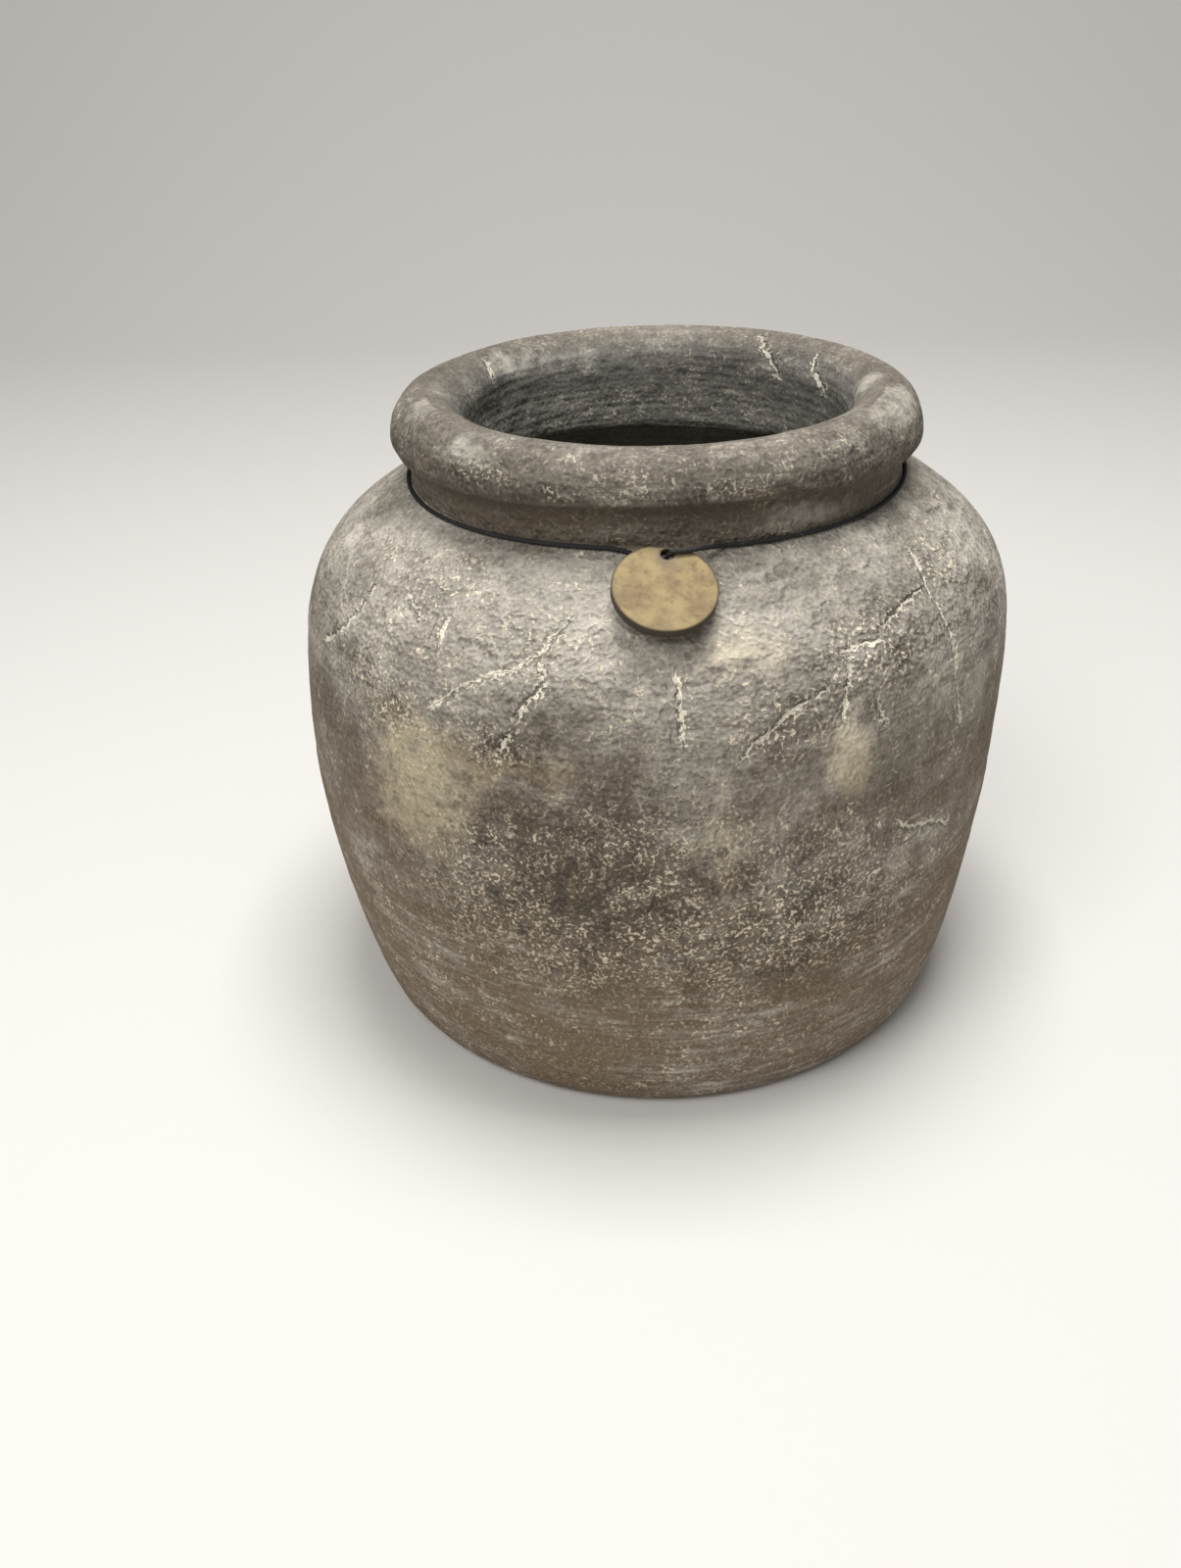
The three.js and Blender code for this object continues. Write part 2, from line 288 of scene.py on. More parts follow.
# %% Driving dimensions of the jar, in millimetres
BELLY_RADIUS = 125.0
BELLY_HEIGHT = 92.8
FOOT_RADIUS = 101.8
FOOT_EDGE_RADIUS = 8.8
FOOT_EDGE_TURN = 45.0
FOOT_EDGE_REACH = 11.5
BELLY_REACH_DOWN = 13.4
BELLY_REACH_UP = 73.6
CREASE_RADIUS = 82.8
CREASE_HEIGHT = 193.4
SHOULDER_REACH = 46.3
SHOULDER_SLOPE = 28.6
LEDGE_HEIGHT = CREASE_HEIGHT + 13.4
NECK_WAIST = 10.5
LEDGE_RADIUS = 86.7
RIM_RADIUS = 76.2
RIM_HEIGHT = LEDGE_HEIGHT + 2.0
RIM_HALF_WIDTH = 12.7
RIM_HALF_HEIGHT = 13.6
WALL = 10.0
FLOOR = 12.0
BORE_RADIUS = 62.0
BORE_EDGE_HEIGHT = CREASE_HEIGHT - 6.9
BORE_EDGE_RADIUS = 4.0
INSIDE_CORNER_RADIUS = 16.0


# %% Curves of the profile
def heading(degrees):
    return np.array([math.cos(math.radians(degrees)), math.sin(math.radians(degrees))])


def cubic(start, leave, arrive, end, steps):
    t = np.linspace(0, 1, steps + 1)[:, None]
    return (1 - t) ** 3 * start + 3 * (1 - t) ** 2 * t * leave + 3 * (1 - t) * t ** 2 * arrive + t ** 3 * end


def bend(start, start_reach, start_heading, end, end_reach, end_heading, steps):
    leave = np.add(start, start_reach * heading(start_heading))
    arrive = np.subtract(end, end_reach * heading(end_heading))
    return cubic(np.array(start), leave, arrive, np.array(end), steps)


def easy_bend(start, corner, end, steps):
    leave = np.add(start, 2 / 3 * np.subtract(corner, start))
    arrive = np.add(end, 2 / 3 * np.subtract(corner, end))
    return cubic(np.array(start), leave, arrive, np.array(end), steps)


def arc(centre, half_width, half_height, start, end, steps):
    angles = np.radians(np.linspace(start, end, steps + 1))
    return np.add(centre, np.stack([half_width * np.cos(angles), half_height * np.sin(angles)], 1))


def straight(start, end, steps):
    return np.linspace(start, end, steps + 1)


def jar_profile():
    """Points (radius, height) from the foot's centre to the floor's, and the first one inside."""
    belly = (BELLY_RADIUS, BELLY_HEIGHT)
    crease = (CREASE_RADIUS, CREASE_HEIGHT)
    ledge = (LEDGE_RADIUS, LEDGE_HEIGHT)
    rim_outer = (RIM_RADIUS + RIM_HALF_WIDTH, RIM_HEIGHT)
    foot_edge = arc((FOOT_RADIUS, FOOT_EDGE_RADIUS), FOOT_EDGE_RADIUS, FOOT_EDGE_RADIUS,
                    -90, FOOT_EDGE_TURN - 90, 6)
    bore_end = (BORE_RADIUS, BORE_EDGE_HEIGHT + BORE_EDGE_RADIUS)
    bore_edge = arc((BORE_RADIUS + BORE_EDGE_RADIUS, bore_end[1]), BORE_EDGE_RADIUS, BORE_EDGE_RADIUS,
                    180, 270, 3)
    inner_belly = (BELLY_RADIUS - WALL, BELLY_HEIGHT)
    corner_top = (FOOT_RADIUS, FLOOR + INSIDE_CORNER_RADIUS)
    corner_centre = (corner_top[0] - INSIDE_CORNER_RADIUS, corner_top[1])
    outside = [
        straight((0, 0), foot_edge[0], 3),
        foot_edge,
        bend(foot_edge[-1], FOOT_EDGE_REACH, FOOT_EDGE_TURN, belly, BELLY_REACH_DOWN, 90, 46),
        bend(belly, BELLY_REACH_UP, 90, crease, SHOULDER_REACH, 180 - SHOULDER_SLOPE, 76),
        easy_bend(crease, (CREASE_RADIUS, CREASE_HEIGHT + NECK_WAIST), ledge, 11),
        easy_bend(ledge, (rim_outer[0], LEDGE_HEIGHT), rim_outer, 4),
        arc((RIM_RADIUS, RIM_HEIGHT), RIM_HALF_WIDTH, RIM_HALF_HEIGHT, 0, 90, 14),
    ]
    inside = [
        arc((RIM_RADIUS, RIM_HEIGHT), RIM_HALF_WIDTH, RIM_HALF_HEIGHT, 90, 180, 14),
        straight((RIM_RADIUS - RIM_HALF_WIDTH, RIM_HEIGHT), bore_end, 9),
        bore_edge,
        bend(bore_edge[-1], SHOULDER_REACH, 0, inner_belly, BELLY_REACH_UP - WALL, 270, 14),
        bend(inner_belly, BELLY_REACH_DOWN, 270, corner_top, FOOT_EDGE_REACH, 270, 10),
        arc(corner_centre, INSIDE_CORNER_RADIUS, INSIDE_CORNER_RADIUS, 0, -90, 4),
        straight((corner_centre[0], FLOOR), (0, FLOOR), 5),
    ]

    def joined(stretches):
        return np.concatenate([stretches[0]] + [stretch[1:] for stretch in stretches[1:]])

    outer = joined(outside)
    return np.concatenate([outer, joined(inside)[1:]]), len(outer)


profile, first_inside = jar_profile()
print(len(profile), "points in the profile,", first_inside, "of them outside")

# %% [markdown]
# ## What the potter's hand left
# No thrown jar is perfectly round. The foot and the neck stand a little to one side of the belly,
# the wall waves, the crease under the neck and the ledge of the rim rise and fall, and one place
# on the rim is pinched. These rules are written once, for plain numbers and for node trees alike,
# because the cord has to follow the same crease.

# %% Rules of the uneven clay
HAND = {
    "Belly height": BELLY_HEIGHT,
    "Round above": CREASE_HEIGHT - 25.4,
    "Foot offset": 1.6,
    "Neck offset": 2.7,
    "Wall wave": 0.6,
    "Wall wave fade": 40.0,
    "Oval twist": 30.0,
    "Square twist": 22.0,
    "Crease height": CREASE_HEIGHT,
    "Crease wave": 0.7,
    "Crease wave azimuth": math.radians(-92),
    "Crease band": 5.0,
    "Ledge height": LEDGE_HEIGHT,
    "Ledge wave": 1.3,
    "Ledge wave azimuth": math.radians(-78),
    "Rim top": RIM_HEIGHT + RIM_HALF_HEIGHT,
    "Pinch depth": 1.5,
    "Pinch azimuth": math.radians(-42),
    "Pinch width": math.radians(11),
}


def clay_lift(maths, size, azimuth, height):
    """How far the uneven crease and ledge lift the clay."""
    crease = size["Crease wave"] * maths.cos(3 * (azimuth - size["Crease wave azimuth"]))
    turn = azimuth - size["Pinch azimuth"]
    from_pinch = maths.angle(maths.sin(turn), maths.cos(turn)) / size["Pinch width"]
    pinch = size["Pinch depth"] * maths.exp(-(from_pinch * from_pinch))
    ledge = size["Ledge wave"] * maths.cos(3 * (azimuth - size["Ledge wave azimuth"])) - pinch
    to_crease = maths.smooth(size["Round above"], size["Crease height"], height)
    to_ledge = maths.smooth(size["Crease height"] + size["Crease band"], size["Ledge height"], height)
    to_rim = maths.smooth(size["Ledge height"], size["Rim top"], height)
    return crease * to_crease * (1 - to_ledge) + ledge * to_ledge * (1 - to_rim)


def thrown(maths, size, radius, height, azimuth):
    """Where a point of the round profile lies on the real jar: x, y and z."""
    free = 1 - maths.smooth(size["Round above"] - size["Wall wave fade"], size["Round above"], height)
    oval = maths.cos(2 * azimuth + height / size["Oval twist"])
    square = maths.cos(4 * azimuth - height / size["Square twist"])
    from_foot = maths.smooth(0.0, size["Belly height"], height)
    off_axis = maths.smooth(0.0, size["Belly height"], radius)
    reach = radius + size["Wall wave"] * free * from_foot * off_axis * (oval + square) / 2
    to_neck = maths.smooth(size["Belly height"], size["Round above"], height)
    drift = size["Foot offset"] * (1 - from_foot) + size["Neck offset"] * to_neck
    lift = clay_lift(maths, size, azimuth, height)
    return reach * maths.cos(azimuth) + drift, reach * maths.sin(azimuth), height + lift


# %% [markdown]
# ## Throwing the jar with Geometry Nodes
# The tree takes the profile as a line of points and a flat grid. Each column of the grid becomes
# one turn of the profile: a point's place across the grid gives its azimuth and its place up the
# grid picks a point of the profile. The front, where the photograph looks, gets its columns closer
# together. Then the skin of the clay is moved along its normal by throwing rings, soft lumps and
# small dents. The skin stays quiet in the crease, where the cord lies, and on the foot, which has
# to stay flat.

# %% Sizes of the jar's tree
RING_SQUEEZE = (0.09, 0.09, 1.0)
RELIEF_BIAS = 0.3
QUIET_BELOW_CREASE = (9.0, 2.0)
QUIET_ABOVE_CREASE = 4.0
FLAT_FOOT = 0.2
SKIN = {
    "Sides": 440,
    "Front": math.radians(-90),
    "Crowding": 0.25,
    "Ring depth": 0.34,
    "Ring height": 3.4,
    "Lump depth": 0.9,
    "Lump width": 26.0,
    "Dent depth": 0.5,
    "Dent width": 7.0,
    "Foot edge": 5.0,
    "Seed": 11.0,
}


def skin_relief(tree, size, point, height):
    """How far the skin stands off the smooth wall, in millimetres: mostly inwards."""
    squeezed = tree.vector("MULTIPLY", point, RING_SQUEEZE)

    def field(vector, width, detail):
        values = {"Vector": vector, "W": size["Seed"], "Scale": 1 / width, "Detail": detail}
        return tree.node("ShaderNodeTexNoise", values, noise_dimensions="4D") - 0.5

    rings = field(squeezed, size["Ring height"], 2.0) * size["Ring depth"]
    lumps = field(point, size["Lump width"], 1.0) * size["Lump depth"]
    dents = field(point, size["Dent width"], 3.0) * size["Dent depth"]
    start, end = (size["Crease height"] - drop for drop in QUIET_BELOW_CREASE)
    below = 1 - tree.smooth(start, end, height)
    above = tree.smooth(size["Crease height"] + QUIET_ABOVE_CREASE, size["Ledge height"], height)
    off_foot = tree.smooth(FLAT_FOOT, size["Foot edge"], height)
    return (rings + lumps + dents - RELIEF_BIAS) * (below + above) * off_foot


def throwing_tree(sizes, material):
    tree, size = geometry_tree("throw the jar", sizes)
    profile_line = size["Geometry"]
    rows = tree.node("GeometryNodeAttributeDomainSize", [profile_line], "Point Count", component="MESH")
    wheel = tree.node("GeometryNodeMeshGrid", {
        "Size X": 1.0, "Size Y": 1.0, "Vertices X": size["Sides"] + 1, "Vertices Y": rows})
    place = tree.node("GeometryNodeInputPosition")
    flat = tree.node("ShaderNodeSeparateXYZ", [place])
    turn = (flat["X"] + 0.5) * math.tau
    azimuth = size["Front"] + turn - size["Crowding"] * tree.sin(turn)
    row = tree.math("ROUND", (flat["Y"] + 0.5) * (rows - 1))
    inside = tree.node("GeometryNodeInputNamedAttribute", ["inside"], data_type="FLOAT")

    def at_row(value, kind):
        picked = {"Geometry": profile_line, "Value": value, "Index": row}
        return tree.node("GeometryNodeSampleIndex", picked, data_type=kind)

    station = tree.node("ShaderNodeSeparateXYZ", [at_row(place, "FLOAT_VECTOR")])
    kept = at_row(inside, "FLOAT")
    marked = tree.node("GeometryNodeStoreNamedAttribute", {
        "Geometry": wheel, "Name": "inside", "Value": kept}, data_type="FLOAT", domain="POINT")
    x, y, z = thrown(tree, size, station["X"], station["Z"], azimuth)
    point = tree.node("ShaderNodeCombineXYZ", [x, y, z])
    jar = tree.node("GeometryNodeSetPosition", {"Geometry": marked, "Position": tree.scaled(point, MM)})
    jar = tree.node("GeometryNodeMergeByDistance", {"Geometry": jar, "Distance": 0.01 * MM})
    here = tree.scaled(tree.node("GeometryNodeInputPosition"), 1 / MM)
    height = tree.node("ShaderNodeSeparateXYZ", [here])["Z"]
    relief = skin_relief(tree, size, here, height)
    offset = tree.scaled(tree.node("GeometryNodeInputNormal"), relief * MM)
    jar = tree.node("GeometryNodeSetPosition", {"Geometry": jar, "Offset": offset})
    finish_tree(tree, jar, material)
    return tree


# %% [markdown]
# ## Where a place on the clay is
# A mark that the photograph shows is given as a pixel of it, and seen_on_wall and seen_inside
# follow the camera's ray through that pixel until it meets the clay. A mark that it doesn't show
# is given by azimuth and height. on_wall finds the radius of the outer profile at that height and
# lets the same uneven rules move the point, so that every mark sits on the clay.

# %% Places on the clay
outer_line = profile[:first_inside]
bore_line = profile[first_inside:][::-1]
bore_line = bore_line[np.argmax(bore_line[:, 1] >= BORE_EDGE_HEIGHT):]
RAY_START = 250.0
RAY_END = 700.0
RAY_STEP = 0.2


def on_line(line, azimuth, height):
    radius = np.interp(height, line[:, 1], line[:, 0])
    return np.array(thrown(Numbers, HAND, radius, height, np.radians(azimuth)))


def on_wall(azimuth, height):
    """The point of the outside, from foot to rim, at an azimuth in degrees and a height."""
    return on_line(outer_line, azimuth, height)


def along_ray(x, y):
    """Closely spaced points along the camera's ray through a pixel of the photograph."""
    across = (x - PHOTO_SHORT_SIDE / 2) / FOCAL_LENGTH_IN_PIXELS
    up = (PHOTO_LONG_SIDE / 2 - y) / FOCAL_LENGTH_IN_PIXELS
    ray = np.array(camera.matrix_world.to_3x3()) @ (across, up, -1.0)
    return np.array(CAMERA_PLACE) / MM + np.arange(RAY_START, RAY_END, RAY_STEP)[:, None] * ray


def past_line(line, points):
    """How far out from a line of the profile each point lies, seen from the jar's axis."""
    azimuths = np.degrees(np.arctan2(points[:, 1], points[:, 0]))
    clay = on_line(line, azimuths, points[:, 2])
    return np.hypot(points[:, 0], points[:, 1]) - np.hypot(clay[0], clay[1])


def seen_on_wall(x, y):
    """The point of the outside that a pixel of the photograph shows."""
    points = along_ray(x, y)
    in_clay = (past_line(outer_line, points) < 0) & (points[:, 2] < outer_line[-1, 1])
    return points[np.argmax(in_clay)]


def seen_inside(x, y):
    """The point of the mouth's inside that a pixel of the photograph shows."""
    points = along_ray(x, y)
    out = past_line(bore_line, points)
    return points[np.argmax((out[:-1] < 0) & (out[1:] >= 0)) + 1]


print("a place on the wall:", on_wall(-90, 150).round(1))
print("the middle of the photograph shows", seen_on_wall(602, 800).round(1))


# %% [markdown]
# ## Cracks and scrapes
# Pale lime fills cracks in the clay, and the shoulder has scrapes and nicks. Each one is a short
# line of points. Where the photograph shows it, the points are pixels read from it, and the
# camera's rays find them on the clay. On the sides that it doesn't show, they are chosen freely,
# as azimuths and heights. The clay beside a line is cut down in real geometry, with its edges
# pushed up a little. The line itself is finer than the mesh, so each point near it also keeps how
# far across the line it lies and how much lime shows there, and the finish draws the thin pale
# filling from that.

# %% Lines in the clay: the points, then depth, width and how much lime shows
# Seen in the photograph, as pixels.
SEEN_CRACKS = {
    "long crack": ([(441, 721), (470, 700), (492, 691), (518, 685), (550, 668), (562, 651), (576, 637)],
                   0.7, 1.5, 1.0),
    "hooked crack": ([(551, 678), (556, 700), (545, 710), (533, 722), (529, 731)], 0.9, 1.9, 1.0),
    "left crack": ([(380, 601), (365, 625), (346, 644), (332, 653)], 0.8, 1.8, 0.8),
    "left nick": ([(455, 634), (447, 654)], 0.6, 1.8, 0.9),
    "left shoulder nick": ([(416, 608), (428, 630)], 0.5, 1.6, 0.8),
    "dark scratch": ([(421, 620), (408, 650), (397, 676)], 0.5, 1.2, 0.0),
    "short crack": ([(518, 753), (511, 765)], 0.7, 1.7, 0.9),
    "front crack": ([(692, 693), (695, 706), (697, 739), (698, 755)], 0.8, 1.5, 1.0),
    "slanting scrape": ([(839, 708), (806, 729), (793, 744), (770, 762), (760, 775)], 1.0, 2.0, 0.75),
    "hanging crack": ([(867, 662), (870, 680), (866, 706), (862, 731)], 0.7, 1.4, 0.85),
    "hanging crack top": ([(895, 655), (882, 658), (867, 664)], 0.9, 2.2, 0.9),
    "shoulder scrape": ([(944, 601), (923, 617), (905, 637)], 0.9, 2.3, 0.6),
    "dark nick": ([(910, 662), (918, 673)], 0.9, 1.5, 0.0),
    "right chip": ([(897, 716), (905, 735)], 1.0, 2.4, 0.7),
    "wavy crack": ([(918, 840), (929, 845), (948, 839), (966, 838)], 0.8, 1.6, 0.9),
    "fine scratch": ([(894, 889), (885, 898)], 0.4, 1.0, 0.8),
    "pale edge": ([(931, 560), (951, 606), (966, 629), (974, 652), (978, 690), (981, 735)], 0.3, 1.3, 0.7),
    "right gouge": ([(958, 502), (948, 508), (938, 504), (926, 508)], 1.2, 2.2, 0.0),
    "right gouge below": ([(965, 520), (952, 522), (940, 516)], 1.0, 1.8, 0.0),
}
SEEN_INNER_SCRATCHES = {
    "inner scratch": ([(776, 343), (778, 353), (787, 369), (794, 384)], 0.3, 1.2, 0.5),
    "inner arc": ([(831, 377), (834, 388), (840, 400)], 0.3, 1.2, 0.6),
    "inner nick": ([(831, 366), (828, 376)], 0.4, 1.5, 0.9),
    "inner left nick": ([(497, 370), (502, 384)], 0.6, 1.6, 0.7),
}

# Not seen, as azimuths and heights.
OTHER_CRACKS = {
    "back crack": ([(62, 168), (67, 160), (72, 158), (78, 148), (84, 146)], 0.8, 1.6, 0.9),
    "back scrape": ([(118, 172), (121, 164), (119, 158)], 0.8, 1.8, 0.8),
    "back low crack": ([(98, 112), (103, 107), (110, 109), (116, 101)], 0.7, 1.6, 0.8),
    "side crack": ([(8, 150), (12, 143), (11, 137), (16, 130)], 0.8, 1.6, 0.85),
    "side nick": ([(34, 120), (38, 117)], 0.7, 1.7, 0.9),
    "left side crack": ([(171, 165), (165, 158), (160, 157)], 0.8, 1.7, 0.9),
    "left side low crack": ([(-172, 108), (-167, 102), (-163, 103)], 0.6, 1.5, 0.8),
}

# How far from a line its lime is kept, how far round it points are looked at, and over what length
# its ends grow shallower, in millimetres. Then the share of the depth that is left at the ends, the
# share by which the edges are pushed up, and the value that parts the inside from the outside.
LINE_HALF_ZONE = 4.0
LINE_SEARCH = 12.0
LINE_TAPER = 4.0
LINE_END_DEPTH = 0.3
LIP_SHARE = 0.22
ON_INSIDE = 0.5

# Dents, and swellings as dents of negative depth: where, half width, half height, depth.
SEEN_DENTS = {
    "right lip dent": (817, 502, 13.0, 3.5, 1.1),
    "right neck swelling": (840, 525, 15.0, 4.0, -0.8),
    "left rim dent": (478, 466, 15.0, 6.0, 0.6),
    "front rim swelling": (600, 480, 16.0, 7.0, -0.3),
    "right rim dent": (905, 445, 12.0, 6.0, 0.8),
    "right rim top dent": (920, 400, 9.0, 5.0, 0.5),
    "left chip": (358, 753, 2.2, 2.2, 0.9),
    "right edge dent": (968, 660, 9.0, 26.0, 0.5),
    "left scrape dent": (390, 714, 9.0, 6.0, 0.5),
    "right belly dent": (812, 747, 12.0, 4.0, 0.5),
}
OTHER_DENTS = {
    "right back rim dent": (38, 215, 14.0, 6.0, 0.6),
    "back rim dent": (95, 213, 18.0, 6.0, 0.7),
    "left back rim dent": (150, 214, 16.0, 7.0, 0.8),
}


def beside_line(points, corners):
    """For each point, its distance along a line of corners and its signed distance from it, and
    the line's length."""
    best = np.full(len(points), np.inf)
    along, across = (np.zeros(len(points)) for _ in range(2))
    run = 0.0
    for start, end in zip(corners[:-1], corners[1:]):
        length = np.linalg.norm(end - start)
        direction = (end - start) / length
        outwards = np.array([start[0], start[1], 0]) / np.hypot(start[0], start[1])
        sideways = np.cross(direction, outwards)
        sideways /= np.linalg.norm(sideways)
        share = np.clip((points - start) @ direction, 0, length)
        gap = np.linalg.norm(points - start - share[:, None] * direction, axis=1)
        nearer = gap < best
        best[nearer] = gap[nearer]
        along[nearer] = (run + share)[nearer]
        side = (points - start) @ sideways
        across[nearer] = (np.sign(side) * gap)[nearer]
        run += length
    return along, across, run


def work_the_clay(mesh):
    """Presses the dents, cuts the lines, and stores what the finish needs to draw their filling."""
    count = len(mesh.vertices)
    points = np.empty(count * 3)
    mesh.vertices.foreach_get("co", points)
    points = points.reshape(-1, 3) / MM
    normals = np.empty(count * 3)
    mesh.vertex_normals.foreach_get("vector", normals)
    normals = normals.reshape(-1, 3)
    inside = np.empty(count)
    mesh.attributes["inside"].data.foreach_get("value", inside)
    line_data = np.zeros((count, 3))
    depth_here = np.zeros(count)
    on_outside = inside < ON_INSIDE
    dents = [(seen_on_wall, dent) for dent in SEEN_DENTS.values()]
    dents += [(on_wall, dent) for dent in OTHER_DENTS.values()]
    for find_place, (*where, half_width, half_height, depth) in dents:
        away = (points - find_place(*where)) / (half_width, half_width, half_height)
        depth_here += depth * np.exp(-(away ** 2).sum(1)) * on_outside
    lines = [(seen_on_wall, on_outside, line) for line in SEEN_CRACKS.values()]
    lines += [(on_wall, on_outside, line) for line in OTHER_CRACKS.values()]
    lines += [(seen_inside, inside > ON_INSIDE, line) for line in SEEN_INNER_SCRATCHES.values()]
    for find_place, side, (corners, depth, width, lime) in lines:
        places = np.array([find_place(*corner) for corner in corners])
        reach = np.ptp(places, axis=0).max() + LINE_SEARCH
        near = np.flatnonzero(side & (np.linalg.norm(points - places.mean(0), axis=1) < reach))
        along, across, length = beside_line(points[near], places)
        gap = np.abs(across)
        taper = Numbers.smooth(0, LINE_TAPER, along) * Numbers.smooth(0, LINE_TAPER, length - along)
        taper = taper * (1 - LINE_END_DEPTH) + LINE_END_DEPTH
        lips = np.exp(-((gap - 2 * width) / width) ** 2)
        groove = np.exp(-(gap / width) ** 2) - LIP_SHARE * lips
        depth_here[near] += depth * taper * groove
        strength = lime * (1 - Numbers.smooth(LINE_HALF_ZONE * 0.5, LINE_HALF_ZONE, gap))
        wins = strength > line_data[near, 2]
        line_data[near[wins], 1:] = np.stack([across, strength], 1)[wins]
    points -= normals * depth_here[:, None]
    mesh.vertices.foreach_set("co", (points * MM).ravel())
    attribute = mesh.attributes.new("crack", "FLOAT_VECTOR", "POINT")
    attribute.data.foreach_set("vector", line_data.ravel())
    mesh.update()
    deepest = round(float(depth_here.max()), 2)
    print(len(lines), "lines cut and", len(dents), "dents pressed, up to", deepest, "mm deep")


# %% [markdown]
# ## The finish of the clay
# The clay is unglazed and matt. Over a warm grey body lies a thin pale wash, brushed round the
# jar, thick on the shoulder. The wall is a little darker towards the bottom, and it takes a painted
# warm tint of light bounced up from a brown cloth. The whole skin is rough, like fine stucco:
# crumbs stand out and catch the light, and the colour is painted paler on the raised bits and
# darker in the pits, as painted highlight and shade. The neck and the underside of the rim carry
# painted shade, and deep inside a paler colour is painted light that lifts the shade of the
# hollow. In a wide zone at the front and in patches elsewhere it is coarser still, with pale grit
# and worm-like threads of lime. There are a few yellow, cream and brown stains. All of it is
# procedural, on Object coordinates in millimetres. A brush stroke is noise whose height is
# squeezed, so it runs round the jar without a seam. A stain or a coarse zone is a soft ellipsoid
# round a place on the wall, with its coordinates pushed about by noise so that its edge is ragged.

# %% Colours of the clay
BODY_COLOURS = [
    (0.05, (0.050, 0.042, 0.032)),
    (0.32, (0.140, 0.121, 0.098)),
    (0.58, (0.275, 0.250, 0.212)),
    (0.96, (0.560, 0.520, 0.445)),
]
DARK_CLAY = (0.070, 0.056, 0.041)
# Brown dirt on the neck, darkened further as painted shade under the rolled rim.
NECK_DIRT_AND_SHADE = (0.088, 0.068, 0.047)
# Partly the clay's warm earth, partly painted warm light bounced up from a brown cloth.
WARM_BOUNCE_AND_EARTH = (0.165, 0.118, 0.074)
GREY_WASH = (0.300, 0.275, 0.235)
GRIT = (0.760, 0.660, 0.487)
LIME = (0.780, 0.715, 0.575)
YELLOW_STAIN = (0.430, 0.362, 0.240)
CREAM_STAIN = (0.560, 0.495, 0.375)
BROWN_STAIN = (0.160, 0.118, 0.072)
PALE_RUB = (0.400, 0.372, 0.318)
INSIDE_PALE = (0.175, 0.166, 0.146)
INSIDE_DARK = (0.078, 0.073, 0.064)
# A pale colour deep inside the jar: painted light that lifts the shade in the hollow.
HOLLOW_PAINTED_LIGHT = (0.330, 0.310, 0.275)

# %% Stains: where, half width, half height, how strong, and colour
# Seen in the photograph, as pixels read from it.
SEEN_STAINS = {
    "left yellow stain": (423, 779, 26.0, 20.0, 0.80, YELLOW_STAIN),
    "left yellow stain below": (435, 832, 24.0, 17.0, 0.75, YELLOW_STAIN),
    "left yellow arm": (470, 772, 26.0, 8.0, 0.65, YELLOW_STAIN),
    "right cream stain": (862, 764, 12.0, 15.0, 1.00, CREAM_STAIN),
    "right yellow stain": (872, 790, 11.0, 9.0, 0.80, YELLOW_STAIN),
    "cream stain by the tag": (755, 665, 16.0, 7.0, 0.75, CREAM_STAIN),
    "cream stain below it": (783, 690, 9.0, 5.0, 0.60, CREAM_STAIN),
    "front cream stain": (709, 693, 14.0, 6.0, 0.45, CREAM_STAIN),
    "low yellow stain": (747, 865, 12.0, 13.0, 0.55, YELLOW_STAIN),
    "narrow cream stain": (732, 824, 5.0, 9.0, 0.55, CREAM_STAIN),
    "low cream stain": (768, 924, 12.0, 7.0, 0.55, CREAM_STAIN),
    "left cream stain": (570, 780, 8.0, 14.0, 0.50, CREAM_STAIN),
    "brown band": (525, 785, 26.0, 6.0, 0.75, BROWN_STAIN),
    "left brown patch": (525, 930, 34.0, 22.0, 0.45, BROWN_STAIN),
    "low brown patch": (644, 1020, 40.0, 16.0, 0.45, BROWN_STAIN),
    "left scrape's shade": (390, 714, 16.0, 8.0, 0.60, BROWN_STAIN),
    "dark spot": (498, 869, 8.0, 8.0, 0.75, DARK_CLAY),
    "low dark spot": (471, 929, 6.0, 6.0, 0.55, DARK_CLAY),
    "dark band": (628, 828, 22.0, 7.0, 0.45, DARK_CLAY),
    "right dark band": (880, 820, 24.0, 12.0, 0.45, DARK_CLAY),
    "right dark edge": (920, 775, 12.0, 24.0, 0.40, DARK_CLAY),
    "wash left of the tag": (560, 590, 20.0, 8.0, 0.65, GREY_WASH),
    "wash under the tag": (668, 630, 18.0, 7.0, 0.35, GREY_WASH),
    "brown left shoulder": (440, 655, 22.0, 12.0, 0.45, BROWN_STAIN),
    "low left dark patch": (464, 985, 16.0, 9.0, 0.35, DARK_CLAY),
}

